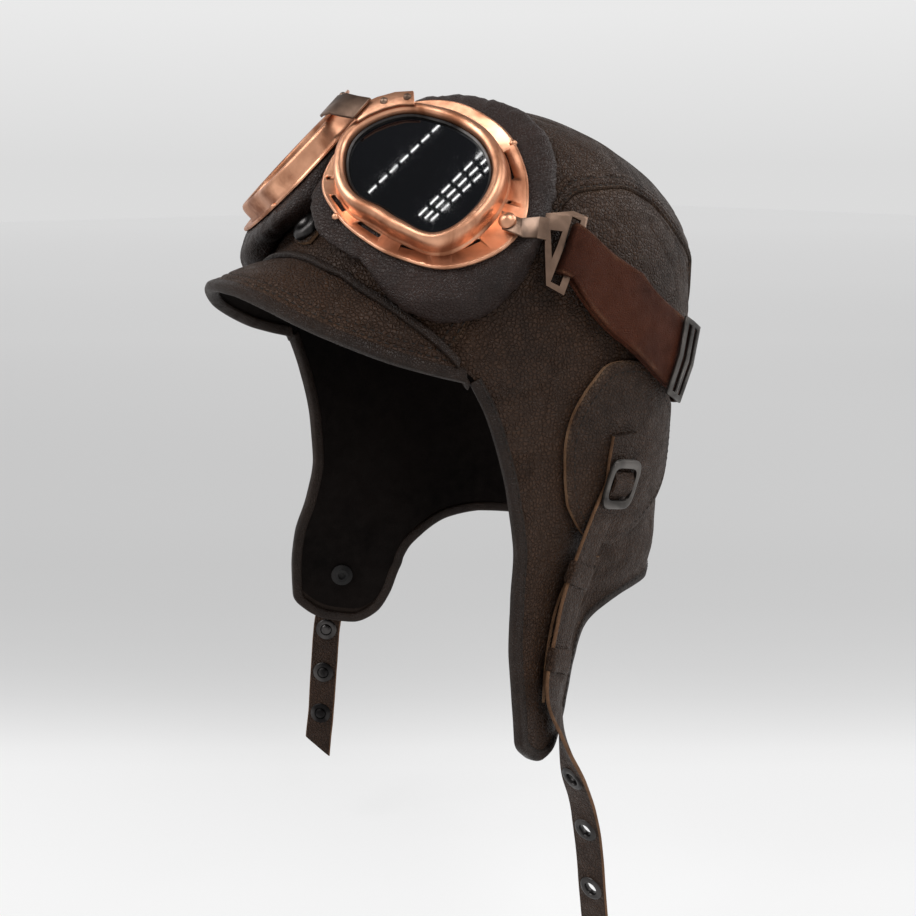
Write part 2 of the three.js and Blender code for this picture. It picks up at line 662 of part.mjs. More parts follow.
// Chin strap: over the flap from its cut end above the buckle, then hanging free.
// Free rows are shares of the half width, front reach and side depth; turn faces the front edge.
const STRAP_AIR = 0.5;
const STRAP_LIFT = PATCH_LIFT + PATCH_THICKNESS + 2 * TOUCH_GAP + KEEPER_WALL
  + CHIN_STRAP_THICKNESS / 2 + STRAP_AIR;
const STRAP_PATH = [
  { angle: 92.6, level: 0.318 },
  { angle: 92.3, level: 0.37 },
  { angle: 92.1, level: 0.422 },
  { angle: 89.5, level: 0.473 },
  { angle: 87.1, level: 0.52 },
  { angle: 81.5, level: 0.61 },
  { angle: 77.4, level: 0.664 },
  { angle: 73.8, level: 0.718 },
  { angle: 70.5, level: 0.77 },
  { angle: 67.7, level: 0.823 },
];
const BUCKLE_ROW = 2;
const KEEPER_ROWS = { upper: 5, lower: 8 };
const FREE_LEFT = [
  { drop: 0.917, out: 1.032, along: -0.251, turn: -42 },
  { drop: 0.9755, out: 1.018, along: -0.212, turn: -27 },
  { drop: 1.073, out: 1.004, along: -0.145, turn: 5, eyelet: true },
  { drop: 1.146, out: 0.994, along: -0.088, turn: 9 },
  { drop: 1.221, out: 0.988, along: -0.051, turn: 14, eyelet: true },
  { drop: 1.302, out: 0.982, along: -0.02, turn: 14.6 },
  { drop: 1.383, out: 0.98, along: 0.002, turn: 14.6, eyelet: true },
  { drop: 1.461, out: 0.977, along: 0.022, turn: 14.6 },
  { drop: 1.536, out: 0.971, along: 0.046, turn: 14.6 },
];
const FREE_RIGHT = [
  { drop: 0.917, out: 1.071, along: -0.286, turn: -49 },
  { drop: 0.969, out: 1.076, along: -0.305, turn: -49 },
  { drop: 1.031, out: 1.07, along: -0.336, turn: -49, eyelet: true },
  { drop: 1.154, out: 1.064, along: -0.366, turn: -48, eyelet: true },
  { drop: 1.273, out: 1.058, along: -0.393, turn: -47, eyelet: true },
  { drop: 1.328, out: 1.055, along: -0.41, turn: -46 },
  { drop: 1.37, out: 1.053, along: -0.422, turn: -45 },
];

function strapStations(free) {
  const rows = STRAP_PATH.map((p) => ({
    middle: lifted(p.angle, p.level, STRAP_LIFT), up: normalAt(p.angle, p.level),
  }));
  for (const f of free) {
    rows.push({
      middle: vec(f.out * HALF_WIDTH, APEX_SHIFT + f.along * FRONT_REACH, levelHeight(f.drop)),
      face: vec(Math.cos(f.turn * DEG), Math.sin(f.turn * DEG), 0),
      eyelet: f.eyelet,
    });
  }
  rows.forEach((r, i) => {
    const before = rows[Math.max(i - 1, 0)].middle;
    const after = rows[Math.min(i + 1, rows.length - 1)].middle;
    r.along = after.clone().sub(before).normalize();
    r.across = r.face ? r.face.clone() : r.along.clone().cross(r.up);
    r.across.addScaledVector(r.along, -r.across.dot(r.along)).normalize();
    r.up = r.across.clone().cross(r.along).normalize();
  });
  return rows;
}

function eyeletRing(s) {
  const flange = EYELET_RADIUS;
  const sleeve = EYELET_BORE + 0.55;
  const half = CHIN_STRAP_THICKNESS / 2 + TOUCH_GAP;
  const profile = [[EYELET_BORE, -half - 0.4], [flange, -half - 0.4], [flange, -half], [sleeve, -half],
    [sleeve, half], [flange, half], [flange, half + 0.4], [EYELET_BORE, half + 0.4]];
  const sides = 10;
  return loft(Array.from({ length: sides }, (_, k) => profile.map(([r, h]) => s.middle.clone()
    .addScaledVector(s.across, r * Math.cos((2 * Math.PI * k) / sides))
    .addScaledVector(s.along, r * Math.sin((2 * Math.PI * k) / sides))
    .addScaledVector(s.up, h))), true);
}

const HOLE_HALF = 4;
function buildChinStrap(side, free, turn) {
  const rows = strapStations(free);
  const flat = EYELET_RADIUS + 0.8;
  const stations = rows.flatMap((r) => (r.eyelet
    ? [-flat, flat].map((d) => ({ ...r, middle: r.middle.clone().addScaledVector(r.along, d) }))
    : [r]));
  const eyelets = rows.filter((r) => r.eyelet);
  const bore = EYELET_BORE + 0.9;
  const holes = eyelets.map((s) =>
    turned([{ r: bore, h: -HOLE_HALF }, { r: bore, h: HOLE_HALF }], 10, s.middle, s.across, s.up));
  add(`chin_strap_${side}`, turn(cut(band(stations, CHIN_STRAP_WIDTH, CHIN_STRAP_THICKNESS), holes)),
    LEATHER);
  eyelets.forEach((s, i) => add(`strap_eyelet_${side}_${i + 1}`, turn(eyeletRing(s)), GUNMETAL));
  const held = rows[BUCKLE_ROW];
  const over = CHIN_STRAP_THICKNESS / 2 + BUCKLE_THICKNESS / 2 + TOUCH_GAP + 0.2;
  add(`strap_buckle_${side}`, turn(frame(held.middle.clone().addScaledVector(held.up, over), held.across,
    held.along.clone().negate(), BUCKLE_OUTER, BUCKLE_INNER, BUCKLE_THICKNESS)), GUNMETAL);
  for (const [place, row] of Object.entries(KEEPER_ROWS)) {
    const s = rows[row];
    const wide = CHIN_STRAP_WIDTH / 2 + TOUCH_GAP;
    const high = CHIN_STRAP_THICKNESS / 2 + TOUCH_GAP + 0.1;
    const corners = [[-1, -1], [1, -1], [1, 1], [-1, 1]];
    const at = (a, b, c) => s.middle.clone().addScaledVector(s.across, a)
      .addScaledVector(s.up, b).addScaledVector(s.along, c);
    const loop = loft(corners.map(([a, b]) => [
      at(a * wide, b * high, -KEEPER_LENGTH / 2),
      at(a * (wide + KEEPER_WALL), b * (high + KEEPER_WALL), -KEEPER_LENGTH / 2),
      at(a * (wide + KEEPER_WALL), b * (high + KEEPER_WALL), KEEPER_LENGTH / 2),
      at(a * wide, b * high, KEEPER_LENGTH / 2),
    ]), true);
    add(`strap_keeper_${place}_${side}`, turn(loop), LEATHER);
  }
}
buildChinStrap("left", FREE_LEFT, (g) => g);
buildChinStrap("right", FREE_RIGHT, mirrored);

// Snap on its leather tab at the brow, and the snaps riveted through the flaps
const SNAP_RINGS = [{ r: 1, h: 0 }, { r: 1, h: 1.2 }, { r: 0.7, h: 2.3 }, { r: 0.3, h: 2.8 }];
const snapRings = SNAP_RINGS.map(({ r, h }) => ({ r: r * SNAP_RADIUS, h }));
const BROW_SNAP = { angle: 0, level: -0.225 };
const TAB_HALF = { angle: 4.1, level: 0.078 };
const tabOutline = Array.from({ length: 12 }, (_, k) => {
  const a = (k * 30 + 15) * DEG;
  const round = 1 / Math.max(Math.abs(Math.cos(a)), Math.abs(Math.sin(a))) ** 0.6;
  return { angle: BROW_SNAP.angle + TAB_HALF.angle * Math.cos(a) * round,
    level: BROW_SNAP.level + TAB_HALF.level * Math.sin(a) * round };
});
add("brow_tab", patch(tabOutline, BROW_SNAP, 1, PATCH_LIFT, PATCH_THICKNESS), LEATHER);
add("brow_snap", turned(snapRings, 12, lifted(BROW_SNAP.angle, BROW_SNAP.level,
  PATCH_LIFT + PATCH_THICKNESS + OVER_GAP), vec(1, 0, 0), normalAt(BROW_SNAP.angle, BROW_SNAP.level)),
GUNMETAL);

const FLAP_SNAP = { angle: 73, level: 0.861 };
const flapNormal = normalAt(FLAP_SNAP.angle, FLAP_SNAP.level).negate();
const flapSide = flapNormal.clone().cross(vec(0, 0, 1)).normalize();
const FLAP_SNAP_RINGS = [{ r: 5.5, h: 0 }, { r: 5.5, h: 0.8 }, { r: 3.5, h: 1.8 }];
addPair("flap_snap", turned(FLAP_SNAP_RINGS, 12,
  lifted(FLAP_SNAP.angle, FLAP_SNAP.level, LINING_LIFT - LINING - OVER_GAP - 0.2), flapSide, flapNormal),
GUNMETAL);

// Goggles: two cups, each with its own plane, set on the front of the crown
const CUP_TURN = 31.5;
const CUP_TILT = 43;
const GOGGLE_YAW = 4.9;
const GOGGLE_ROLL = -3.2;
const GOGGLE_SEAT = vec(1, -0.541 * FRONT_REACH, BROW_LEVEL + 0.558 * CROWN_RISE);
const cupN = vec(Math.sin(CUP_TURN * DEG) * Math.cos(CUP_TILT * DEG),
  -Math.cos(CUP_TURN * DEG) * Math.cos(CUP_TILT * DEG), Math.sin(CUP_TILT * DEG));
const cupU = vec(Math.cos(CUP_TURN * DEG), Math.sin(CUP_TURN * DEG), 0);
const cupV = cupN.clone().cross(cupU);
const goggleTurn = new THREE.Matrix4().makeRotationZ(GOGGLE_YAW * DEG)
  .multiply(new THREE.Matrix4().makeRotationY(-GOGGLE_ROLL * DEG));

// Point of a cup from its angle round the opening, distance out and height over the flange's back
function cupPoint(side, angle, reach, height) {
  const p = vec(GOGGLE_SPACING / 2, 0, 0)
    .addScaledVector(cupU, reach * Math.cos(angle * DEG))
    .addScaledVector(cupV, reach * Math.sin(angle * DEG))
    .addScaledVector(cupN, height);
  p.x *= side;
  return p.applyMatrix4(goggleTurn).add(GOGGLE_SEAT);
}
const cupAxis = (side) => cupPoint(side, 0, 0, 1).sub(cupPoint(side, 0, 0, 0));

// Outlines round a cup from the temple, upwards over the top: shares of each one's longest reach
const CUP_OUTLINE = [
  { angle: 0, opening: 0.786, flange: 0.87, pad: 0.79 },
  { angle: 30, opening: 0.731, flange: 0.8, pad: 0.8 },
  { angle: 60, opening: 0.706, flange: 0.804, pad: 0.793 },
  { angle: 90, opening: 0.76, flange: 0.876, pad: 0.819 },
  { angle: 120, opening: 0.923, flange: 0.913, pad: 0.81 },
  { angle: 150, opening: 1, flange: 0.902, pad: 0.724 },
  { angle: 180, opening: 0.857, flange: 0.892, pad: 0.69 },
  { angle: 210, opening: 0.703, flange: 0.75, pad: 0.57 },
  { angle: 240, opening: 0.566, flange: 0.691, pad: 0.54 },
  { angle: 270, opening: 0.643, flange: 0.746, pad: 0.776 },
  { angle: 300, opening: 0.869, flange: 0.92, pad: 0.9 },
  { angle: 330, opening: 0.823, flange: 1, pad: 0.81 },
  { angle: 360, opening: 0.786, flange: 0.87, pad: 0.79 },
];
const openingAt = (angle) => OPENING_REACH * column(CUP_OUTLINE, "angle", "opening")(angle);
const flangeAt = (angle) => FLANGE_REACH * column(CUP_OUTLINE, "angle", "flange")(angle);
const padAt = (angle) => PAD_REACH * column(CUP_OUTLINE, "angle", "pad")(angle);

const PAD_CLEAR = 1.2;
const PAD_REST = 3.2;
const PAD_OVER_PEAK = 3;
const PAD_LEAST = 0.7;
const PAD_DEEPEST = 20;

// Height of the peak's root at each distance from the midline
const PEAK_ROOT = ROOT.map((r) => skin(r.angle, r.level)).slice(0, -1).map((p) => ({ x: p.x, z: p.z }));
const peakRootHeight = column(PEAK_ROOT, "x", "z");

// How far behind the flange a pad can go before it meets the crown or the peak
function padDepth(side, angle, reach) {
  const free = (p) => outside(p) > 0 && p.z > peakRootHeight(Math.abs(p.x)) + PAD_OVER_PEAK;
  let depth = 0;
  while (depth < PAD_DEEPEST + 4 && free(cupPoint(side, angle, reach, -depth))) depth += 0.25;
  return clamp(depth - PAD_REST, PAD_LEAST, PAD_DEEPEST);
}

// Reach at which a pad meets the plane between the two cups
function nasalReach(angle, height) {
  const x = Math.cos(angle * DEG) * cupU.x + Math.sin(angle * DEG) * cupV.x;
  if (x >= -0.05) return PAD_REACH;
  return (GOGGLE_SPACING / 2 + height * cupN.x - PAD_CLEAR) / -x;
}

function padLoop(side, angle) {
  const inner = openingAt(angle) + 1;
  const front = flangeAt(angle) - 0.6;
  const deep = padDepth(side, angle, Math.min(padAt(angle), nasalReach(angle, -2)));
  const outer = Math.min(Math.max(padAt(angle), inner + 6), nasalReach(angle, -deep));
  const bulge = Math.min(mix(front, outer, 0.6) + 1, nasalReach(angle, -0.45 * deep));
  const near = Math.min(inner + 1, outer - 3);
  const middle = (near + outer) / 2;
  return [[inner, -TOUCH_GAP], [front, -TOUCH_GAP], [bulge, -0.45 * deep], [outer, -deep],
    [middle, -Math.min(padDepth(side, angle, middle), deep)],
    [near, -Math.min(padDepth(side, angle, near), deep)],
  ].map(([r, h]) => cupPoint(side, angle, r, h));
}

const BEZEL_SECTION = [[0, 0.15], [0, 0.85], [0.28, 1], [0.68, 0.99], [0.96, 0.8], [1, 0.15]];
const PAD_SIDES = 20;
const BEZEL_SIDES = 24;
const around = (n) => Array.from({ length: n }, (_, k) => (k * 360) / n);

for (const side of [1, -1]) {
  const name = side > 0 ? "left" : "right";
  add(`goggle_pad_${name}`, loft(around(PAD_SIDES).map((a) => padLoop(side, a)), true), PAD_LEATHER);
  add(`goggle_flange_${name}`, loft(around(BEZEL_SIDES).map((a) => [
    cupPoint(side, a, openingAt(a), 0), cupPoint(side, a, flangeAt(a), 0),
    cupPoint(side, a, flangeAt(a), FLANGE_THICKNESS), cupPoint(side, a, openingAt(a), FLANGE_THICKNESS),
  ]), true), COPPER);
  add(`goggle_bezel_${name}`, loft(around(BEZEL_SIDES).map((a) => BEZEL_SECTION.map(([r, h]) =>
    cupPoint(side, a, openingAt(a) + r * BEZEL_WIDTH, h * BEZEL_HEIGHT))), true), COPPER);
  const lensLoop = (inset, h) => around(BEZEL_SIDES).map((a) =>
    cupPoint(side, a, (openingAt(a) - TOUCH_GAP) * inset, h));
  add(`goggle_lens_${name}`, loft([lensLoop(1, LENS_LEVEL), lensLoop(1, LENS_LEVEL + LENS_THICKNESS),
    lensLoop(0.6, LENS_LEVEL + LENS_THICKNESS + 1)]), DARK_GLASS);
}

// Bridge: a copper plate on each nasal corner and the dark link that joins them
const PLATE_ANGLES = [108, 118, 128, 138, 146];
const PLATE_LEVEL = BEZEL_HEIGHT + 0.4;
for (const side of [1, -1]) {
  const name = side > 0 ? "left" : "right";
  add(`bridge_plate_${name}`, loft(PLATE_ANGLES.map((a) => [
    cupPoint(side, a, openingAt(a) + 1, PLATE_LEVEL), cupPoint(side, a, openingAt(a) + 8, PLATE_LEVEL),
    cupPoint(side, a, openingAt(a) + 8, PLATE_LEVEL + 1.2),
    cupPoint(side, a, openingAt(a) + 1, PLATE_LEVEL + 1.2),
  ])), COPPER);
}
const LINK_SPOTS = [{ angle: 139, reach: 38.5, up: 2.3 }, { angle: 143, reach: 43, up: 2.5 }];
const linkSide = (side) => LINK_SPOTS.map((l) => ({
  middle: cupPoint(side, l.angle, l.reach, PLATE_LEVEL + l.up), up: cupAxis(side) }));
const linkEnds = [linkSide(1), linkSide(-1)];
const linkMiddle = linkEnds[0][1].middle.clone().add(linkEnds[1][1].middle).multiplyScalar(0.5);
const linkUp = cupAxis(1).add(cupAxis(-1)).normalize();
const linkRows = [...linkEnds[0], { middle: linkMiddle.addScaledVector(linkUp, 1.2), up: linkUp },
  ...linkEnds[1].reverse()];
const linkAlong = linkRows.at(-1).middle.clone().sub(linkRows[0].middle).normalize();
for (const r of linkRows) {
  r.across = linkAlong.clone().cross(r.up).normalize();
}
add("bridge_link", band(linkRows, 11, 1.2), ANTIQUE);

// Place on the shell in millimetres from a centre: a is rearwards and b is upwards along the leather
function chart(angle, level) {
  const drop = dropOf(level);
  const perAngle = skin(angle + 0.5, level).sub(skin(angle - 0.5, level));
  const perDrop = skin(angle, levelOf(drop + 0.5)).sub(skin(angle, levelOf(drop - 0.5)));
  const rearwards = perAngle.clone().normalize();
  const upwards = normalAt(angle, level).cross(rearwards).normalize();
  if (upwards.z < 0) upwards.negate();
  const aa = perAngle.dot(perAngle);
  const ab = perAngle.dot(perDrop);
  const bb = perDrop.dot(perDrop);
  const det = aa * bb - ab * ab;
  return (a, b) => {
    const step = rearwards.clone().multiplyScalar(a).addScaledVector(upwards, b);
    const pa = step.dot(perAngle);
    const pb = step.dot(perDrop);
    const down = drop + (pb * aa - pa * ab) / det;
    return { angle: angle + (pa * bb - pb * ab) / det, level: levelOf(down) };
  };
}

// Plate with holes, draped over the shell at a lift, with each of its triangles split in four
function draped(outline, holes, place, lift, thickness) {
  const corners = (list) => list.map(([x, y]) => new THREE.Vector2(x, y));
  const shape = new THREE.Shape(corners(outline));
  for (const h of holes) shape.holes.push(new THREE.Path(corners(h)));
  const plate = new THREE.ExtrudeGeometry(shape, { depth: thickness, bevelEnabled: false });
  const source = (plate.index ? plate.toNonIndexed() : plate).getAttribute("position");
  const points = [];
  const triangles = [];
  const put = (v) => {
    const s = place(v.x, v.y);
    return points.push(lifted(s.angle, s.level, lift + v.z)) - 1;
  };
  for (let i = 0; i < source.count; i += 3) {
    const [a, b, c] = [0, 1, 2].map((k) => new THREE.Vector3().fromBufferAttribute(source, i + k));
    const [ab, bc, ca] = [[a, b], [b, c], [c, a]].map(([p, q]) => p.clone().add(q).multiplyScalar(0.5));
    for (const t of [[a, ab, ca], [ab, b, bc], [ca, bc, c], [ab, bc, ca]]) triangles.push(t.map(put));
  }
  return body(points, triangles);
}

// Metal bracket at each temple; the goggle strap folds round its slanted rear bar
const BRACKET_PLACE = chart(76.3, -0.144);
const BRACKET_LIFT = 5.4;
const BRACKET_OUTLINE = [[-8.9, 11.7], [-9.3, -12.5], [-3.6, -16.4], [9.2, 10.6], [3.2, 12.6]];
const BRACKET_HOLE = [[-6.9, 6.6], [-2.2, 6.2], [-6.6, -2.6]];
const BRACKET_SLOT = [[5.8, 9.6], [2.4, 10.9], [-7.5, -11.2], [-4.6, -13]];
addPair("strap_bracket", draped(BRACKET_OUTLINE, [BRACKET_HOLE, BRACKET_SLOT], BRACKET_PLACE,
  BRACKET_LIFT, BRACKET_THICKNESS), ANTIQUE);

// Clip from the temple corner of each flange over the front bar of the bracket
const CLIP_ANGLE = -25;
for (const side of [1, -1]) {
  const name = side > 0 ? "left" : "right";
  const keep = (p) => (side > 0 ? p : flipX(p));
  const front = BRACKET_PLACE(-12, 7);
  const rear = BRACKET_PLACE(-8.2, 6.5);
  const high = BRACKET_LIFT + BRACKET_THICKNESS + 1.1;
  const ends = [cupPoint(side, CLIP_ANGLE, 37.6, 2.8), cupPoint(side, CLIP_ANGLE, 47, 4.2),
    keep(lifted(front.angle, front.level, high)), keep(lifted(rear.angle, rear.level, high))];
  const ups = [cupAxis(side), cupAxis(side), keep(normalAt(front.angle, front.level)),
    keep(normalAt(rear.angle, rear.level))];
  const way = ends[3].clone().sub(ends[0]).normalize();
  const rows = ends.map((middle, i) => {
    const across = way.clone().cross(ups[i]).normalize();
    return { middle, up: ups[i], across };
  });
  add(`side_clip_${name}`, band(rows, 8, 1.2), ANTIQUE);
  add(`clip_rivet_${name}`, turned([{ r: 2.4, h: 0 }, { r: 2.4, h: 0.6 }, { r: 1.4, h: 1.2 }], 8,
    cupPoint(side, CLIP_ANGLE, 40.5, 4.4), rows[0].across, cupAxis(side)), GUNMETAL);
}

// Goggle strap: edges on the shell from the bracket to the middle of the back
const STRAP_REACH = 157.5;
const FOLD_START = 3.2;
const BAR_TOP = [6.4, 7.3];
const BAR_LOW = [-1.3, -8.6];
const BAR_FORWARD = [-0.898, 0.44];
const beforeBar = ([a, b]) => BRACKET_PLACE(a + BAR_FORWARD[0] * FOLD_START, b + BAR_FORWARD[1] * FOLD_START);
const foldTop = beforeBar(BAR_TOP);
const foldBottom = beforeBar(BAR_LOW);
const STRAP_EDGES = [
  { share: 0, topAngle: foldTop.angle, topLevel: foldTop.level,
    lowAngle: foldBottom.angle, lowLevel: foldBottom.level },
  { share: 0.121, topAngle: 90.5, topLevel: -0.085, lowAngle: 84, lowLevel: 0.083 },
  { share: 0.229, topAngle: 99, topLevel: 0.036, lowAngle: 91.5, lowLevel: 0.145 },
  { share: 0.388, topAngle: 116, topLevel: 0.119, lowAngle: 105, lowLevel: 0.229 },
  { share: 0.569, topAngle: 132.5, topLevel: 0.164, lowAngle: 127, lowLevel: 0.29 },
  { share: 0.734, topAngle: 151, topLevel: 0.193, lowAngle: 149.5, lowLevel: 0.326 },
  { share: 1, topAngle: 180, topLevel: 0.203, lowAngle: 180, lowLevel: 0.339 },
];
const edgeOf = Object.fromEntries(["topAngle", "topLevel", "lowAngle", "lowLevel"]
  .map((k) => [k, column(STRAP_EDGES, "share", k)]));
const INNER_LIFT = 3.8;
const OUTER_LIFT = INNER_LIFT + GOGGLE_STRAP_THICKNESS + 0.6;
const FOLD = [[1.8, 3.8], [-1.4, 3.9], [-2.9, 4.9], [-2.9, 7.6], [-1.4, 8.8], [2.6, 8.8], [10, 6.9]];
const RETURN = { left: 68, right: 18 };

function strapPoint(along, across, lift) {
  const s = (along + FOLD_START) / STRAP_REACH;
  const t = (across + 1) / 2;
  const drop = mix(dropOf(edgeOf.lowLevel(s)), dropOf(edgeOf.topLevel(s)), t);
  return lifted(mix(edgeOf.lowAngle(s), edgeOf.topAngle(s), t), levelOf(drop), lift);
}

// Side view of the strap from the back to the fold and back to its sewn end, with its thickness
function strapSide(back) {
  const path = [];
  for (let a = STRAP_REACH - FOLD_START; a > 8; a -= 10.5) path.push([a, INNER_LIFT]);
  path.push(...FOLD);
  for (let a = 16; a < back; a += 10.5) path.push([a, OUTER_LIFT]);
  path.push([back, OUTER_LIFT]);
  return path.map(([a, h], i) => {
    const [pa, ph] = path[Math.max(i - 1, 0)];
    const [na, nh] = path[Math.min(i + 1, path.length - 1)];
    const length = Math.hypot(na - pa, nh - ph);
    const push = [((nh - ph) / length) * (GOGGLE_STRAP_THICKNESS / 2),
      (-(na - pa) / length) * (GOGGLE_STRAP_THICKNESS / 2)];
    return [[a - push[0], h - push[1]], [a + push[0], h + push[1]]];
  });
}
const strapLeft = strapSide(RETURN.left);
const strapRight = strapSide(RETURN.right).slice(1);
const strapRows = [...strapRight.reverse().map((p) => ({ p, flip: true })),
  ...strapLeft.map((p) => ({ p, flip: false }))];
add("goggle_strap", wallGrid(strapRows.length - 1, 2, (i, j, side) => {
  const { p, flip } = strapRows[i];
  const q = strapPoint(p[side][0], j - 1, p[side][1]);
  return flip ? flipX(q) : q;
}), STRAP_LEATHER);

// Slider that holds the doubled end of the strap on the left
const SLIDER_PLACE = chart(111, 0.185);
const SLIDER_TILT = 25;
const SLIDER_HALF = [6.5, 15];
const SLIDER_SLOT = { from: 1.2, to: 4.2, half: 12.8 };
const SLIDER_CLEAR = 0.9;
const SLIDER_THICKNESS = 1.5;
const sliderAt = (a, b) => [a * Math.cos(SLIDER_TILT * DEG) + b * Math.sin(SLIDER_TILT * DEG),
  b * Math.cos(SLIDER_TILT * DEG) - a * Math.sin(SLIDER_TILT * DEG)];
const box = (a0, a1, b) => [sliderAt(a0, -b), sliderAt(a1, -b), sliderAt(a1, b), sliderAt(a0, b)];
const sliderSlots = [box(-SLIDER_SLOT.to, -SLIDER_SLOT.from, SLIDER_SLOT.half),
  box(SLIDER_SLOT.from, SLIDER_SLOT.to, SLIDER_SLOT.half)];
add("strap_slider", draped(box(-SLIDER_HALF[0], SLIDER_HALF[0], SLIDER_HALF[1]), sliderSlots, SLIDER_PLACE,
  OUTER_LIFT + GOGGLE_STRAP_THICKNESS / 2 + SLIDER_CLEAR, SLIDER_THICKNESS), GUNMETAL);

export default helmet;
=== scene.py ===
"""Looks of the leather flying helmet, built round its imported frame.

Lengths are worked out in millimetres, as in the part, and meshes are made in metres.
"""
import math

import bmesh
import bpy
import numpy as np
from mathutils import Matrix, Vector, noise


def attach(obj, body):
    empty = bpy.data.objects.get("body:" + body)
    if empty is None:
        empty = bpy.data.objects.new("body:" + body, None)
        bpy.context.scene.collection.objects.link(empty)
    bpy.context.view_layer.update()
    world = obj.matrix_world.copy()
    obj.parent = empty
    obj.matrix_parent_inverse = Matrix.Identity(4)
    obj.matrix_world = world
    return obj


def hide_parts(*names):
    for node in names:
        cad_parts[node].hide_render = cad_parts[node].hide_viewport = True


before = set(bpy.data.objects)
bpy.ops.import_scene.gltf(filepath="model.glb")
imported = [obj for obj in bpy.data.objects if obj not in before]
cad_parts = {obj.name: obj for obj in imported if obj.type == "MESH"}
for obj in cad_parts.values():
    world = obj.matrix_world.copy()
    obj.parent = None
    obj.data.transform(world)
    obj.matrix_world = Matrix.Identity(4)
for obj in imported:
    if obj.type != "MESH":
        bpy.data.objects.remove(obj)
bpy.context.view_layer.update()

MM = 0.001

# Driving sizes of the helmet
HALF_WIDTH = 85.5
FRONT_REACH = 98
BACK_REACH = 94
CROWN_RISE = 62.5
SIDE_DEPTH = 192
APEX_SHIFT = 7.5
SIDE_DOME_POWER = 2.45
BACK_DOME_POWER = 1.5
FRONT_DOME_POWER = 1.3
FLARE_REACH = 58
WALL = 1.8
LINING = 1.0
LAYER_GAP = 0.4
HEM_WIDTH = 5
HEM_THICKNESS = 4.6
PEAK_WIDTH = 146.6
PEAK_DEPTH = 64.7
PEAK_DROP = 33.3
PEAK_THICKNESS = 2.6
PEAK_ARCH = 3
PEAK_BINDING = 5.5
PEAK_BINDING_THICKNESS = 4.4
PATCH_LIFT = 1
PATCH_THICKNESS = 1.5
CHIN_STRAP_WIDTH = 14
CHIN_STRAP_THICKNESS = 1.8
KEEPER_LENGTH = 9
KEEPER_WALL = 0.9
BUCKLE_LENGTH = 21
GOGGLE_SPACING = 81.4
FLANGE_REACH = 46
OPENING_REACH = 35
BEZEL_WIDTH = 5
BEZEL_HEIGHT = 8.5
PAD_REACH = 58
LENS_LEVEL = 3
LENS_THICKNESS = 2
GOGGLE_STRAP_THICKNESS = 1.8

CROWN_TOP = WALL + LAYER_GAP + LINING
BROW_LEVEL = CROWN_TOP - CROWN_RISE
LINING_LIFT = -(WALL + LAYER_GAP)
CENTRE_DROP = 20
HOLLOW_CENTRE = np.array([0, APEX_SHIFT, BROW_LEVEL - CENTRE_DROP])
SEAM_TUCK = 0.3
HEM_LAP = 1.5
FLARE_EASE = 60
WELD = 2e-6


def rows(names, *values):
    """A table with named columns."""
    return {name: np.array(column, float) for name, column in zip(names.split(), zip(*values))}


def column(table, key, name):
    """Smooth curve through a table's column, without overshoot."""
    xs, ys = table[key], table[name]
    h = np.diff(xs)
    d = np.diff(ys) / h
    slope = np.concatenate([[d[0]], np.zeros(len(xs) - 2), [d[-1]]])
    same = d[:-1] * d[1:] > 0
    a = 2 * h[1:] + h[:-1]
    b = h[1:] + 2 * h[:-1]
    with np.errstate(divide="ignore", invalid="ignore"):
        harmonic = (a + b) / (a / d[:-1] + b / d[1:])
    slope[1:-1] = np.where(same, harmonic, 0)

    def at(x):
        q = np.clip(np.asarray(x, float), xs[0], xs[-1])
        i = np.clip(np.searchsorted(xs, q, side="right") - 1, 0, len(xs) - 2)
        t = (q - xs[i]) / h[i]
        start = (1 + 2 * t) * (1 - t) ** 2 * ys[i] + t * (1 - t) ** 2 * h[i] * slope[i]
        return start + t * t * (3 - 2 * t) * ys[i + 1] + t * t * (t - 1) * h[i] * slope[i + 1]
    return at


SECTIONS = rows(
    "level width front back power flare",
    (0, 0.947, 0.939, 1, 2.1, 0),
    (0.19, 1, 1, 0.915, 2.2, 0.02),
    (0.354, 0.971, 0.99, 0.793, 2.2, 0.09),
    (0.51, 0.942, 0.959, 0.801, 2.15, 0.27),
    (0.615, 0.922, 0.934, 0.809, 2.12, 0.43),
    (0.729, 0.903, 0.901, 0.766, 2.1, 0.66),
    (0.833, 0.891, 0.878, 0.745, 2.1, 0.8),
    (1.052, 0.865, 0.837, 0.713, 2.1, 0.95),
)
FLARE = rows(
    "along push",
    (-70, 1), (-60, 0.828), (-50, 0.655), (-30, 0.31), (-12, 0),
    (-2.5, -0.138), (8, -0.224), (25, -0.155), (45, 0),
)
SEAM = rows(
    "share angle level",
    (0, 50.5, 0.13), (0.08, 55, 0.071), (0.2, 68, -0.21), (0.32, 83.6, -0.48),
    (0.42, 99.5, -0.5), (0.52, 111.7, -0.42), (0.62, 124, -0.16), (0.72, 137, 0.042),
    (0.8, 147, 0.167), (0.88, 153, 0.349), (0.94, 155, 0.534), (1, 157, 0.719),
)
HEM = rows(
    "share seam angle level",
    (0, 0, 55.4, 0.194), (0.06, 0.12, 60, 0.276), (0.12, 0.22, 64, 0.417),
    (0.17, 0.27, 64.3, 0.521), (0.22, 0.31, 61, 0.63), (0.27, 0.34, 56.2, 0.734),
    (0.32, 0.36, 54.7, 0.833), (0.36, 0.38, 54.5, 0.911), (0.4, 0.4, 59, 0.956),
    (0.44, 0.41, 67, 0.99), (0.48, 0.42, 75.5, 1), (0.52, 0.44, 82, 0.974),
    (0.57, 0.46, 86.3, 0.919), (0.62, 0.48, 89.5, 0.844), (0.67, 0.5, 92.5, 0.794),
    (0.73, 0.55, 99.6, 0.755), (0.8, 0.62, 112, 0.729), (0.87, 0.76, 128, 0.721),
    (1, 0.94, 157, 0.719),
)
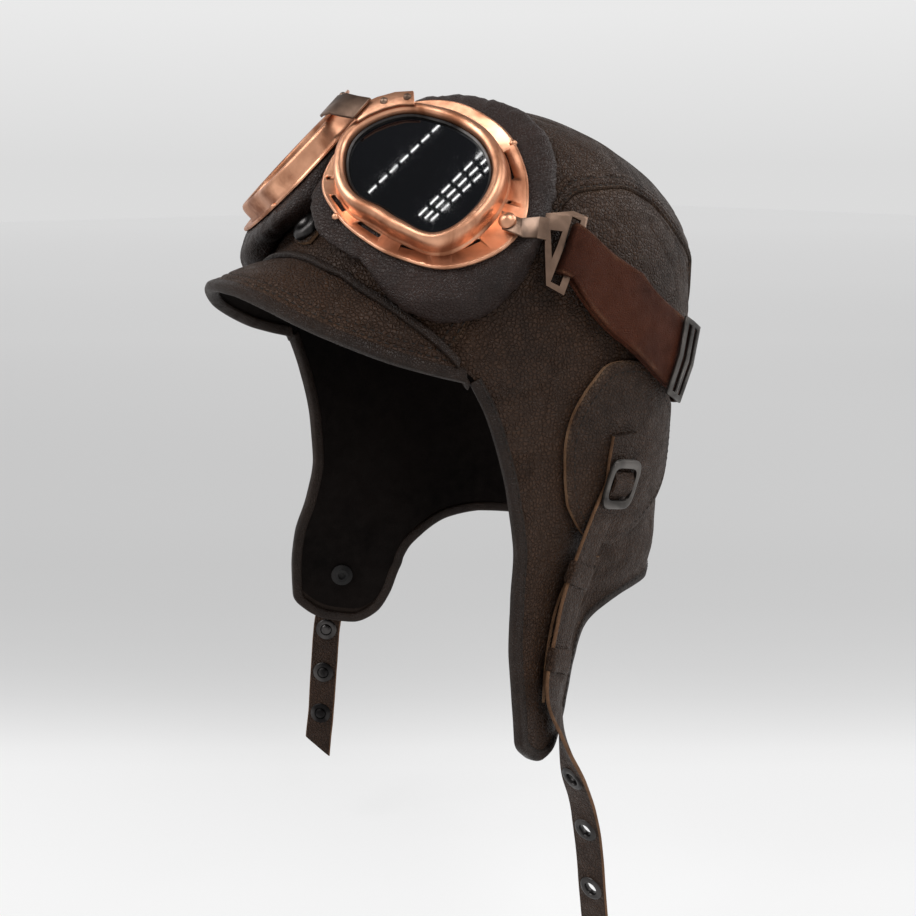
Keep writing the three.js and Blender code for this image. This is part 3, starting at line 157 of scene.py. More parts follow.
ROOT = rows(
    "angle level",
    (0, -0.08), (8.5, -0.064), (16.6, -0.024), (26.3, 0.019), (34.4, 0.047),
    (41.6, 0.08), (48.5, 0.118), (54.2, 0.17), (55.4, 0.194),
)
section_of = {name: column(SECTIONS, "level", name) for name in SECTIONS if name != "level"}
flare_push = column(FLARE, "along", "push")
seam_angle = column(SEAM, "share", "angle")
seam_level = column(SEAM, "share", "level")
hem_angle = column(HEM, "share", "angle")
hem_level = column(HEM, "share", "level")
hem_seam = column(HEM, "share", "seam")
root_level = column(ROOT, "angle", "level")
FAN_EASE = 1.8
CROWN_FRONT_ANGLE = 15.3
CROWN_SWEEP = 224
ROOT_BLEND = 0.18


def mix(a, b, t):
    return a + (b - a) * t


def crossed(a, b):
    """Two grids, of every value of a with every value of b."""
    return np.meshgrid(a, b, indexing="ij")


def unit(v):
    return v / np.maximum(np.linalg.norm(v, axis=-1, keepdims=True), 1e-9)


def drop_of(level):
    return level * np.where(np.asarray(level) < 0, CROWN_RISE, SIDE_DEPTH)


def level_of(drop):
    return drop / np.where(np.asarray(drop) < 0, CROWN_RISE, SIDE_DEPTH)


def section_at(level):
    """Half width, front and back reach, roundness, flare and shift of a level section."""
    w = np.maximum(level, 0)
    t = np.clip(-level, 0, 1)

    def dome(power):
        return np.maximum(1 - t ** power, 0) ** (1 / power)
    return (HALF_WIDTH * section_of["width"](w) * dome(SIDE_DOME_POWER),
            FRONT_REACH * section_of["front"](w) * dome(FRONT_DOME_POWER),
            BACK_REACH * section_of["back"](w) * dome(BACK_DOME_POWER),
            section_of["power"](w), section_of["flare"](w), APEX_SHIFT * (1 - t * t))


def skin(angle, level):
    """Outer leather face: angle 0 is the brow, 90 the wearer's left side, 180 the nape."""
    angle, level = np.broadcast_arrays(np.asarray(angle, float), np.asarray(level, float))
    width, front, back, power, flare, shift = section_at(level)
    c = np.cos(np.radians(angle))
    k = np.sin(np.radians(angle))
    x = width * np.abs(k) ** (2 / power)
    y = -np.sign(c) * np.where(c > 0, front, back) * np.abs(c) ** (2 / power)
    x = x + flare * FLARE_REACH * flare_push(y) * np.clip(x / FLARE_EASE, 0, 1)
    return np.stack([np.where(k < 0, -x, x), y + shift, BROW_LEVEL - drop_of(level)], -1)


def normal_at(angle, level):
    a = skin(angle + 0.2, level) - skin(angle - 0.2, level)
    b = skin(angle, level + 0.002) - skin(angle, level - 0.002)
    return -unit(np.cross(a, b))


def lifted(angle, level, lift=0.0):
    angle, level = np.broadcast_arrays(np.asarray(angle, float), np.asarray(level, float))
    return skin(angle, level) + normal_at(angle, level) * np.asarray(lift, float)[..., None]


def outside(p):
    """Above 0 outside the shell and below 0 inside it."""
    level = level_of(BROW_LEVEL - p[..., 2])
    width, front, back, power, _, shift = section_at(np.maximum(level, -0.99999))
    y = p[..., 1] - shift
    reach = np.where(y < 0, front, back)
    value = (np.abs(p[..., 0]) / width) ** power + (np.abs(y) / reach) ** power - 1
    return np.where(level <= -1, 1, value)


def ray_exit(direction):
    """Angle and level where rays from the hollow's centre leave the shell."""
    near = np.zeros(direction.shape[:-1])
    far = np.full(direction.shape[:-1], 2.0 * (SIDE_DEPTH + CROWN_RISE))
    for _ in range(40):
        middle = (near + far) / 2
        inside = outside(HOLLOW_CENTRE + direction * middle[..., None]) < 0
        near = np.where(inside, middle, near)
        far = np.where(inside, far, middle)
    p = HOLLOW_CENTRE + direction * near[..., None]
    level = level_of(BROW_LEVEL - p[..., 2])
    width, front, back, power, _, shift = section_at(level)
    y = p[..., 1] - shift
    across = (np.abs(p[..., 0]) / width) ** (power / 2)
    along = (np.abs(y) / np.where(y < 0, front, back)) ** (power / 2)
    return np.degrees(np.arctan2(across, np.where(y < 0, along, -along))), level


def crown_exit(share, across):
    a = np.radians(CROWN_FRONT_ANGLE + CROWN_SWEEP * share)
    middle = np.stack([np.zeros_like(a), -np.cos(a), np.sin(a)], -1)
    edge = skin(seam_angle(share), seam_level(share)) - HOLLOW_CENTRE
    middle = skin(*ray_exit(middle)) - HOLLOW_CENTRE
    turn = np.abs(across) * math.pi / 2
    bend = 1 - np.cos(turn)
    toward = np.stack([edge[..., 0] * np.sin(turn), mix(middle[..., 1], edge[..., 1], bend),
                       mix(middle[..., 2], edge[..., 2], bend)], -1)
    return ray_exit(unit(toward))


def crown_point(share, across, lift=0.0):
    """Point of the crown: share runs from brow to nape, across from -1 to 1 between the seams."""
    share, across = np.broadcast_arrays(np.asarray(share, float), np.asarray(across, float))
    reach = skin(seam_angle(share), seam_level(share))[..., 0]
    trimmed = across * (1 - SEAM_TUCK / reach)
    angle, level = crown_exit(share, trimmed)
    start_angle, start_level = crown_exit(np.zeros_like(share), trimmed)
    fade = np.clip(1 - share / ROOT_BLEND, 0, 1) ** 2
    p = lifted(angle, level + fade * (root_level(start_angle) - start_level), lift)
    p[..., 0] = np.where(across < 0, -p[..., 0], p[..., 0])
    return p


def hem_point(share, inset):
    """Angle and level at this distance inside the hem line."""
    share = np.asarray(share, float)
    angle, level = hem_angle(share), hem_level(share)
    before, after = np.clip(share - 0.01, 0, 1), np.clip(share + 0.01, 0, 1)
    along = skin(hem_angle(after), hem_level(after)) - skin(hem_angle(before), hem_level(before))
    inward = unit(np.cross(normal_at(angle, level), along)) * np.asarray(inset)[..., None]
    return step_on(angle, level, inward)


def step_on(angle, level, step):
    """Angle and level after a short step along the leather."""
    drop = drop_of(level)
    per_angle = skin(angle + 0.5, level) - skin(angle - 0.5, level)
    per_drop = skin(angle, level_of(drop + 0.5)) - skin(angle, level_of(drop - 0.5))
    aa, ab, bb = (np.sum(p * q, -1) for p, q in
                  ((per_angle, per_angle), (per_angle, per_drop), (per_drop, per_drop)))
    pa, pb = np.sum(step * per_angle, -1), np.sum(step * per_drop, -1)
    det = aa * bb - ab * ab
    return angle + (pa * bb - pb * ab) / det, level_of(drop + (pb * aa - pa * ab) / det)


def chart(angle, level):
    """Place on the shell from a centre: a is rearwards and b upwards along the leather."""
    rearwards = unit(skin(angle + 0.5, level) - skin(angle - 0.5, level))
    upwards = unit(np.cross(normal_at(angle, level), rearwards))
    if upwards[2] < 0:
        upwards = -upwards

    def at(a, b):
        step = np.asarray(a)[..., None] * rearwards + np.asarray(b)[..., None] * upwards
        return step_on(angle, level, step)
    return at


def side_point(share, down, lift=0.0):
    """Point of the left side panel: down runs from the seam to the hem."""
    s = hem_seam(share)
    top = seam_angle(s), seam_level(s)
    end = hem_point(share, np.full(np.shape(share), HEM_WIDTH - HEM_LAP))
    length = np.linalg.norm(skin(*top) - skin(*end), axis=-1)
    t = mix(SEAM_TUCK / length, 1, down)
    return lifted(mix(top[0], end[0], t ** FAN_EASE), mix(top[1], end[1], t), lift)


# Meshes

def make_object(name, points, faces, materials, slots=None, attributes=None, sharp=42):
    mesh = bpy.data.meshes.new(name)
    mesh.from_pydata((np.asarray(points).reshape(-1, 3) * MM).tolist(), [], faces)
    for material in materials:
        mesh.materials.append(material)
    if slots is not None:
        mesh.polygons.foreach_set("material_index", np.asarray(slots, np.int32))
    for key, values in (attributes or {}).items():
        layer = mesh.attributes.new(key, "FLOAT", "POINT")
        layer.data.foreach_set("value", np.asarray(values, np.float32).ravel())
    mesh.polygons.foreach_set("use_smooth", np.ones(len(mesh.polygons), bool))
    mesh.validate()
    fix_normals(mesh)
    mesh.set_sharp_from_angle(angle=math.radians(sharp))
    item = bpy.data.objects.new(name, mesh)
    bpy.context.scene.collection.objects.link(item)
    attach(item, "root")
    return item


def fix_normals(mesh):
    """Turns every face out, by the sign of the mesh's volume."""
    mesh.calc_loop_triangles()
    co = np.array([v.co for v in mesh.vertices])
    tris = np.array([t.vertices for t in mesh.loop_triangles])
    a, b, c = co[tris[:, 0]], co[tris[:, 1]], co[tris[:, 2]]
    if np.sum(a * np.cross(b, c)) < 0:
        mesh.flip_normals()


def grid_faces(r, c, start=0, flip=False):
    i, j = crossed(np.arange(r - 1), np.arange(c - 1))
    a = start + i * c + j
    quads = np.stack([a, a + c, a + c + 1, a + 1], -1).reshape(-1, 4)
    return quads[:, ::-1] if flip else quads


def wall(name, outer, inner, materials, rim=0, attributes=None, back=0):
    """Closed wall between two grids; rim and back number the materials of its edges and its inner face."""
    r, c = outer.shape[:2]
    n = r * c
    front = grid_faces(r, c)
    rear = grid_faces(r, c, n, True)
    edge = np.concatenate([np.arange(c), np.arange(1, r) * c + c - 1,
                           (r - 1) * c + np.arange(c - 2, -1, -1), np.arange(r - 2, 0, -1) * c])
    nxt = np.roll(edge, -1)
    side = np.stack([edge, nxt, nxt + n, edge + n], -1)
    faces = np.concatenate([front, rear, side])
    slots = np.concatenate([np.zeros(len(front)), np.full(len(rear), back), np.full(len(side), rim)])
    doubled = {k: np.concatenate([v.ravel(), v.ravel()]) for k, v in (attributes or {}).items()}
    points = np.concatenate([outer.reshape(-1, 3), inner.reshape(-1, 3)])
    return make_object(name, points, faces.tolist(), materials, slots, doubled)


def loft(name, sections, materials, closed=False, slot_of=None, sharp=42):
    """Sections joined in a row: a ring when closed, else with flat ends."""
    sections = np.asarray(sections)
    m, n = sections.shape[:2]
    faces = []
    slots = []
    for i in range(m if closed else m - 1):
        for j in range(n):
            k = (j + 1) % n
            q = (i + 1) % m
            faces.append((i * n + j, q * n + j, q * n + k, i * n + k))
            slots.append(slot_of(j) if slot_of else 0)
    if not closed:
        faces += [tuple(range(n)), tuple(range((m - 1) * n, m * n))[::-1]]
        slots += [0, 0]
    return make_object(name, sections, faces, materials, slots, sharp=sharp)


def arc_lengths(points, axis):
    steps = np.linalg.norm(np.diff(points, axis=axis), axis=-1)
    total = np.cumsum(steps, axis=axis)
    return np.concatenate([np.zeros_like(np.take(total, [0], axis)), total], axis)


def along_line(at, lengths, values):
    """Values of a line's points at these lengths along it."""
    return np.stack([np.interp(at, lengths, values[:, k]) for k in range(3)], -1)


def grid_normals(points, like):
    n = np.cross(np.gradient(points, axis=0), np.gradient(points, axis=1))
    n = unit(n)
    return n * np.sign(np.sum(n * like, -1, keepdims=True))


def ripple(points, size, seed):
    """Smooth noise from -1 to 1 at each point, with features of about that size."""
    flat = points.reshape(-1, 3) / size + seed
    return np.array([noise.noise(Vector(p)) for p in flat]).reshape(points.shape[:-1])


def spline(a, b, c, d, t):
    """Point between b and c on the smooth curve through four points."""
    return 0.5 * (2 * b + (c - a) * t + (2 * a - 5 * b + 4 * c - d) * t * t
                  + (3 * b - a - 3 * c + d) * t ** 3)


def smooth_path(points, per, closed=False):
    """Curve through points, with this many steps between each two."""
    p = np.asarray(points, float)
    if closed:
        p = np.concatenate([p[-1:], p, p[:2]])
    else:
        p = np.concatenate([2 * p[:1] - p[1:2], p, 2 * p[-1:] - p[-2:-1]])
    out = [spline(*p[i - 1:i + 3], t) for i in range(1, len(p) - 2) for t in np.arange(per) / per]
    if not closed:
        out.append(p[-2])
    return np.array(out)


STITCH_SIDES = 6
STITCH_RINGS = np.array([(-0.5, 0.3), (-0.36, 0.85), (0, 1), (0.36, 0.85), (0.5, 0.3)])
STITCH_LENGTH = 2.1
STITCH_PITCH = STITCH_LENGTH + 1.0
STITCH_RADIUS = 0.34
STITCH_DIP = 0.25


def stitches(name, paths, material):
    """Threads along paths; each path is (points, normals)."""
    points = []
    faces = []
    turn = np.arange(STITCH_SIDES) * 2 * math.pi / STITCH_SIDES
    for path, up in paths:
        s = arc_lengths(path, 0)
        at = np.arange(STITCH_PITCH / 2, s[-1] - STITCH_LENGTH / 2, STITCH_PITCH)
        p = along_line(at, s, path)
        n = unit(along_line(at, s, up))
        t = unit(along_line(at + 0.2, s, path) - p)
        b = unit(np.cross(n, t))
        for q, tt, bb, nn in zip(p, t, b, n):
            base = len(points)
            for along, wide in STITCH_RINGS:
                dip = -STITCH_DIP * (2 * along) ** 2
                for a in turn:
                    points.append(q + tt * along * STITCH_LENGTH + bb * math.cos(a) * STITCH_RADIUS * wide
                                  + nn * (math.sin(a) * STITCH_RADIUS * wide + dip * STITCH_RADIUS * 2))
            for r in range(len(STITCH_RINGS) - 1):
                for k in range(STITCH_SIDES):
                    m = (k + 1) % STITCH_SIDES
                    faces.append((base + r * STITCH_SIDES + k, base + r * STITCH_SIDES + m,
                                  base + (r + 1) * STITCH_SIDES + m, base + (r + 1) * STITCH_SIDES + k))
            faces.append(tuple(base + k for k in range(STITCH_SIDES))[::-1])
            last = base + (len(STITCH_RINGS) - 1) * STITCH_SIDES
            faces.append(tuple(last + k for k in range(STITCH_SIDES)))
    item = make_object(name, points, faces, [material], sharp=80)


def turned(name, profile, middle, x, axis, materials, sides=48, sharp=30):
    """Round piece from a profile of radius and height; it is closed at the axis or on itself."""
    y = np.cross(axis, x)
    turn = np.arange(sides) * 2 * math.pi / sides
    ring = np.cos(turn)[:, None] * x + np.sin(turn)[:, None] * y
    sections = [middle + r * ring + h * axis for r, h in profile]
    closed = profile[0] == profile[-1]
    if closed:
        sections = sections[:-1]
    return loft(name, sections, materials, closed=closed, sharp=sharp)


def flip_x(points):
    return points * np.array([-1, 1, 1])


SIDE_TURN = {"left": lambda points: points, "right": flip_x}


def smooth_closed(points, per):
    """Closed curves through points, for arrays of loops with their points on axis 1."""
    shifted = [np.roll(points, k, axis=1) for k in (1, 0, -1, -2)]
    parts = [spline(*shifted, t) for t in np.arange(per) / per]
    return np.stack(parts, 2).reshape(points.shape[0], -1, points.shape[2])


def cut_with(item, cutters):
    """Cuts closed solids out of a piece; each cutter is (points, faces)."""
    points = []
    faces = []
    for p, f in cutters:
        faces += [tuple(i + len(points) for i in face) for face in f]
        points += list(p)
    tool = make_object("cutter", points, faces, [])
    change = item.modifiers.new("cut", "BOOLEAN")
    change.object = tool
    change.solver = "EXACT"
    bake(item)
    bpy.data.objects.remove(tool)


def bake(item):
    """Applies a piece's modifiers."""
    graph = bpy.context.evaluated_depsgraph_get()
    mesh = bpy.data.meshes.new_from_object(item.evaluated_get(graph))
    item.modifiers.clear()
    item.data = mesh


def prism_faces(n):
    """Faces of a closed prism with n points at each end."""
    faces = [tuple(range(n))[::-1], tuple(range(n, 2 * n))]
    return faces + [(k, (k + 1) % n, n + (k + 1) % n, n + k) for k in range(n)]


def prism(middle, x, y, outline, half):
    """Closed prism with an outline in the plane of x and y."""
    up = np.cross(x, y)
    ring = np.array([middle + a * x + b * y for a, b in outline])
    return np.concatenate([ring - up * half, ring + up * half]), prism_faces(len(outline))


def circle(radius, sides=24):
    return [(radius * math.cos(2 * math.pi * k / sides), radius * math.sin(2 * math.pi * k / sides))
            for k in range(sides)]


def refined(node, piece, material, bevel):
    """Piece with a CAD node's shape and its edges rounded."""
    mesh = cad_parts[node].data.copy()
    work = bmesh.new()
    work.from_mesh(mesh)
    bmesh.ops.remove_doubles(work, verts=work.verts, dist=WELD)
    bmesh.ops.dissolve_limit(work, angle_limit=math.radians(1.5), verts=work.verts, edges=work.edges)
    work.to_mesh(mesh)
    work.free()
    mesh.materials.clear()
    mesh.materials.append(material)
    item = bpy.data.objects.new(piece, mesh)
    bpy.context.scene.collection.objects.link(item)
    change = item.modifiers.new("bevel", "BEVEL")
    change.width = bevel * MM
    change.segments = 3
    change.limit_method = "ANGLE"
    change.angle_limit = math.radians(35)
    change.use_clamp_overlap = True
    bake(item)
    item.data.polygons.foreach_set("use_smooth", np.ones(len(item.data.polygons), bool))
    item.data.set_sharp_from_angle(angle=math.radians(38))
    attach(item, "root")
    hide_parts(node)


def stands(item, slot, *nodes):
    """Hides the CAD nodes that a piece stands for; the slot is not used."""
    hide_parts(*nodes)
    return item


# Materials

def start(name):
    material = bpy.data.materials.new(name)
    material.use_nodes = True
    tree = material.node_tree
    return material, tree, tree.nodes["Principled BSDF"]


def node(tree, kind, inputs=None, **settings):
    made = tree.nodes.new(kind)
    for key, value in settings.items():
        setattr(made, key, value)
    for key, value in (inputs or {}).items():
        if isinstance(value, bpy.types.NodeSocket):
            tree.links.new(value, made.inputs[key])
        else:
            made.inputs[key].default_value = value
    return made


def grain(tree, place, scale, detail=4.0, distortion=0.0):
    made = node(tree, "ShaderNodeTexNoise", {"Vector": place, "Scale": scale, "Detail": detail,
                                             "Distortion": distortion})
    return made.outputs["Fac"]


def ramp(tree, value, low, high, to_low=0.0, to_high=1.0):
    made = node(tree, "ShaderNodeMapRange", {"Value": value, "From Min": low, "From Max": high,
                                             "To Min": to_low, "To Max": to_high})
    return made.outputs["Result"]


def blend(tree, share, a, b):
    made = node(tree, "ShaderNodeMix", data_type="RGBA")
    for socket, value in ((made.inputs[0], share), (made.inputs[6], a), (made.inputs[7], b)):
        if isinstance(value, bpy.types.NodeSocket):
            tree.links.new(value, socket)
        else:
            socket.default_value = (*value, 1) if isinstance(value, tuple) else value
    return made.outputs[2]


def sums(tree, a, b, kind="ADD"):
    made = node(tree, "ShaderNodeMath", {0: a, 1: b}, operation=kind)
    return made.outputs[0]


def leather(name, dark, mid, worn, roughness=(0.42, 0.64), pebble=780, bump=0.55, blotch=22, specular=0.3):
    """Grained leather: pebbles with painted shade in the furrows between them, fine creases, blotches of
    tone, and lighter rubbed edges that on the peak are partly a painted highlight.
    """
    material, tree, shader = start(name)
    place = node(tree, "ShaderNodeTexCoord").outputs["Object"]
    broad = ramp(tree, grain(tree, place, blotch, 5), 0.35, 0.65)
    fine = ramp(tree, grain(tree, place, 170, 6), 0.3, 0.72)
    tone = blend(tree, broad, dark, mid)
    tone = blend(tree, sums(tree, fine, 0.45, "MULTIPLY"), tone, tuple(v * 1.5 for v in mid))
    # Lighter where the attribute marks rubbed leather; on the peak that band is also a painted highlight.
    wear_and_highlight = node(tree, "ShaderNodeAttribute", attribute_name="wear_and_highlight").outputs["Fac"]
    rubbed = sums(tree, wear_and_highlight, ramp(tree, grain(tree, place, 90, 5), 0.4, 0.62), "MULTIPLY")
    tone = blend(tree, rubbed, tone, worn)
    shift = node(tree, "ShaderNodeTexNoise", {"Vector": place, "Scale": pebble * 0.6, "Detail": 2.0})
    drift = node(tree, "ShaderNodeVectorMath", {0: shift.outputs["Color"], "Scale": 0.8 / pebble},
                 operation="SCALE")
    wobble = node(tree, "ShaderNodeVectorMath", {0: place, 1: drift.outputs[0]}, operation="ADD")
    cells = node(tree, "ShaderNodeTexVoronoi", {"Vector": wobble.outputs[0], "Scale": float(pebble),
                                                "Randomness": 0.9}, feature="DISTANCE_TO_EDGE")
    pores = ramp(tree, cells.outputs["Distance"], 0.0, 0.22)
    height = sums(tree, sums(tree, pores, 0.8, "MULTIPLY"),
                  sums(tree, grain(tree, place, 260, 7), 1.1, "MULTIPLY"))
    # Painted shade: the colour darkens in the furrows between the pebbles.
    tone = blend(tree, ramp(tree, pores, 0.0, 1.0, 0.35, 0.0), tone, tuple(v * 0.45 for v in dark))
    lumps = node(tree, "ShaderNodeBump", {"Height": height, "Strength": bump, "Distance": 0.0007})
    tree.links.new(tone, shader.inputs["Base Color"])
    tree.links.new(ramp(tree, fine, 0, 1, roughness[1], roughness[0]), shader.inputs["Roughness"])
    tree.links.new(lumps.outputs["Normal"], shader.inputs["Normal"])
    shader.inputs["Specular IOR Level"].default_value = specular
    return material


def metal(name, dark, bright, roughness=(0.22, 0.45), scratch=0.25, blotch=60, metallic=1.0):
    """Worn metal: tarnish in blotches, fine scratches and dents."""
    material, tree, shader = start(name)
    place = node(tree, "ShaderNodeTexCoord").outputs["Object"]
    tarnish = ramp(tree, grain(tree, place, blotch, 8, 0.6), 0.38, 0.66)
    stretched = node(tree, "ShaderNodeMapping", {"Vector": place, "Scale": (140.0, 2600.0, 700.0),
                                                 "Rotation": (0.4, 0.2, 0.7)}).outputs[0]
    lines = grain(tree, stretched, 1.0, 3)
    tone = blend(tree, tarnish, bright, dark)
    tree.links.new(tone, shader.inputs["Base Color"])
    rough = sums(tree, tarnish, sums(tree, lines, 0.5, "MULTIPLY"))
    tree.links.new(ramp(tree, rough, 0.1, 1.3, *roughness), shader.inputs["Roughness"])
    height = sums(tree, sums(tree, lines, 0.4, "MULTIPLY"), grain(tree, place, 420, 5))
    lumps = node(tree, "ShaderNodeBump", {"Height": height, "Strength": scratch, "Distance": 0.0002})
    tree.links.new(lumps.outputs["Normal"], shader.inputs["Normal"])
    shader.inputs["Metallic"].default_value = metallic
    return material


def glass(name):
    """Nearly black lens with faint smears."""
    material, tree, shader = start(name)
    place = node(tree, "ShaderNodeTexCoord").outputs["Object"]
    smears = ramp(tree, grain(tree, place, 45, 6, 0.8), 0.5, 0.8, 0.02, 0.06)
    tone = blend(tree, ramp(tree, grain(tree, place, 20, 2), 0.3, 0.7),
                 (0.0015, 0.0018, 0.0025), (0.003, 0.0035, 0.005))
    tree.links.new(tone, shader.inputs["Base Color"])
    tree.links.new(smears, shader.inputs["Roughness"])
    shader.inputs["Specular IOR Level"].default_value = 0.5
    return material


OUTER = leather("outer_leather", (0.0168, 0.0076, 0.0035), (0.038, 0.018, 0.009), (0.085, 0.05, 0.03),
                pebble=640, bump=1.0, specular=0.2)
BOUND = leather("bound_edge", (0.008, 0.0042, 0.0026), (0.02, 0.0108, 0.0068), (0.06, 0.036, 0.023),
                roughness=(0.36, 0.55), pebble=900, bump=0.6, specular=0.2)
FLESH = leather("flesh_side", (0.012, 0.008, 0.006), (0.024, 0.016, 0.012), (0.05, 0.034, 0.023),
                roughness=(0.75, 0.9), pebble=1500, bump=0.3, specular=0.15)
RAW = leather("raw_edge", (0.075, 0.036, 0.018), (0.19, 0.1, 0.052), (0.26, 0.15, 0.085),
              roughness=(0.7, 0.85), pebble=1800, bump=0.5, specular=0.2)
PAD = leather("pad_leather", (0.0115, 0.0056, 0.004), (0.0225, 0.0112, 0.0082), (0.06, 0.036, 0.027),
              roughness=(0.36, 0.54), pebble=800, bump=0.6, specular=0.26)
STRAP = leather("strap_leather", (0.038, 0.0088, 0.0032), (0.072, 0.0178, 0.0062), (0.17, 0.075, 0.038),
                roughness=(0.6, 0.8), pebble=1300, bump=0.9, blotch=40, specular=0.14)
CLOTH = leather("lining", (0.0025, 0.0018, 0.0016), (0.007, 0.0048, 0.004), (0.012, 0.008, 0.006),
                roughness=(0.8, 0.95), pebble=1400, bump=0.35, specular=0.08)
THREAD = leather("thread", (0.006, 0.0045, 0.0035), (0.018, 0.013, 0.0095), (0.03, 0.022, 0.015),
                 roughness=(0.6, 0.8), pebble=3500, bump=0.5)
COPPER = metal("copper", (0.3, 0.125, 0.066), (0.78, 0.41, 0.255), (0.3, 0.52))
ANTIQUE = metal("antique_metal", (0.07, 0.044, 0.032), (0.25, 0.165, 0.12), (0.3, 0.5))
DARK = metal("dark_metal", (0.012, 0.011, 0.011), (0.075, 0.07, 0.068), (0.25, 0.45))
STEEL = metal("worn_steel", (0.03, 0.027, 0.025), (0.15, 0.138, 0.128), (0.3, 0.5))
DULL = metal("dull_metal", (0.003, 0.0025, 0.0025), (0.011, 0.009, 0.0085), (0.6, 0.8), metallic=0.3)
LENS = glass("dark_lens")

# Crown and side panels

SEAM_ROWS = (1.7, 5.4)
SEAM_LAP = 7
NAPE_SHARES = 0.06
NAPE_LEVELS = 0.185
NAPE_SHARE = 1 - (NAPE_SHARES * (HEM_WIDTH + 0.5)) / (NAPE_LEVELS * SIDE_DEPTH)
CREASE_SEEDS = {"left": 21, "right": 47}
threads = []


def edge_shape(distance, raised):
    """Height over the leather near a stitched edge, and how rubbed it is there."""
    lap = raised / (1 + np.exp((distance - SEAM_LAP) / 0.5))
    furrows = sum(0.8 * np.exp(-((distance - d) / 0.75) ** 2) for d in SEAM_ROWS)
    roll = 1.1 * np.clip(1 - distance / 1.3, 0, 1) ** 2
    rubbed = 0.5 * np.exp(-(distance / 1.6) ** 2) + 0.3 * np.exp(-((distance - SEAM_LAP) / 0.7) ** 2)
    return lap - furrows - roll, rubbed


def creased(points, seed, soft=0.8):
    """Gentle dents and creases of worn leather."""
    broad = ripple(points, 34.0, seed)
    small = ripple(points, 12.0, seed + 7)
    ridge = np.exp(-(ripple(points * np.array([1, 1, 1.7]), 22.0, seed + 13) / 0.07) ** 2)
    return soft * broad + 0.3 * small - 0.35 * ridge


def row_at(points, edge_lengths, distance):
    """Path at a distance from the first column of a grid."""
    return np.array([along_line(distance, s, row) for row, s in zip(points, edge_lengths)])


shares, across = crossed(np.linspace(0, NAPE_SHARE, 180), np.linspace(-1, 1, 141))
base = crown_point(shares, across)
ups = grid_normals(base, base - HOLLOW_CENTRE)
lengths = arc_lengths(base, 1)
from_edge = np.minimum(lengths, lengths[:, -1:] - lengths)
shape, wear_and_highlight = edge_shape(from_edge, 0.9)
outer = base + ups * (shape + creased(base, 3) * np.clip(from_edge / 12, 0.15, 1))[..., None]
crown = wall("crown_leather", outer, base - ups * WALL, [OUTER, FLESH], 0, {"wear_and_highlight": wear_and_highlight}, 1)
stands(crown, "outer_leather", "crown")
for flip in (False, True):
    grid, turn = (outer[:, ::-1], ups[:, ::-1]) if flip else (outer, ups)
    s = arc_lengths(grid, 1)
    for d in SEAM_ROWS:
        threads.append((row_at(grid, s, d), row_at(turn, s, d)))

inner = crown_point(shares[::3, ::4], across[::3, ::4], LINING_LIFT)
ups = grid_normals(inner, inner - HOLLOW_CENTRE)
soft = creased(inner, 5, 0.3)[..., None] * ups
stands(wall("crown_lining_cloth", inner - 0.2 * ups, inner - LINING * ups + 0.4 * soft, [CLOTH]), "lining",
       "crown_lining")

shares, down = crossed(np.linspace(0, 1, 230), np.linspace(0, 1, 70))
side_base = side_point(shares, down)
side_ups = grid_normals(side_base, side_base - HOLLOW_CENTRE)
lengths = arc_lengths(side_base, 1)
shape, wear_and_highlight = edge_shape(lengths, 0.0)
near_hem = lengths[:, -1:] - lengths
for side, turn in SIDE_TURN.items():
    soft = creased(side_base, CREASE_SEEDS[side], 1.1)
    fade = np.clip(np.minimum(lengths, near_hem + 3) / 14, 0.1, 1)
    outer = side_base + side_ups * (shape * 0.5 + soft * fade)[..., None]
    rear = side_base - side_ups * WALL
    panel = wall(f"side_leather_{side}", turn(outer), turn(rear), [OUTER, FLESH], 0, {"wear_and_highlight": wear_and_highlight}, 1)
    stands(panel, "outer_leather", f"side_panel_{side}")
    inner = side_point(shares[::2, ::2], down[::2, ::2], LINING_LIFT)
    ups = grid_normals(inner, inner - HOLLOW_CENTRE)
    soft = (creased(inner, 9, 0.3) * 0.5)[..., None] * ups
    face, low = turn(inner - 0.2 * ups), turn(inner - LINING * ups + soft)
    stands(wall(f"side_lining_cloth_{side}", face, low, [CLOTH]), "lining", f"side_lining_{side}")

# Hem round the face edges, the flaps and the nape


def swollen(v):
    """A sine or cosine pushed outwards, for a section between a circle and a box."""
    return math.copysign(abs(v) ** 0.6, v)


ROUND = [(swollen(math.cos(a)), swollen(math.sin(a))) for a in np.arange(20) * math.pi / 10]


def rolled_edge(name, middle, out, up, width, thickness, pucker):
    """Bound roll of leather along a path, swollen and pinched by its pucker."""
    loops = np.stack([middle + out * (a * width / 2) + up * (b * thickness / 2 * pucker)[:, None]
                      for a, b in ROUND], 1)
    return loft(name, loops, [BOUND])


share = np.linspace(0, 1, 260)
angle, level = hem_point(share, np.full(share.shape, HEM_WIDTH / 2))
way = np.linspace(0, 1, 40)[1:-1]
nape_angle = mix(HEM["angle"][-1], 360 - HEM["angle"][-1], way)
nape_level = np.full(way.shape, HEM["level"][-1] - HEM_WIDTH / 2 / SIDE_DEPTH)
middle = lifted(angle, level, -CROWN_TOP / 2)
hem_ups = normal_at(angle, level)
middle = np.concatenate([middle, lifted(nape_angle, nape_level, -CROWN_TOP / 2), flip_x(middle[::-1])])
hem_ups = np.concatenate([hem_ups, normal_at(nape_angle, nape_level), flip_x(hem_ups[::-1])])
along = unit(np.gradient(middle, axis=0))
outward = unit(np.cross(along, hem_ups))
pucker = 1 + 0.05 * ripple(middle, 6.0, 4)
stands(rolled_edge("hem_roll", middle, outward, hem_ups, HEM_WIDTH, HEM_THICKNESS, pucker),
       "outer_leather", "hem_binding")
stitch_path = middle - outward * (HEM_WIDTH * 0.26) + hem_ups * (HEM_THICKNESS / 2 * 0.93)
threads.append((stitch_path, hem_ups))

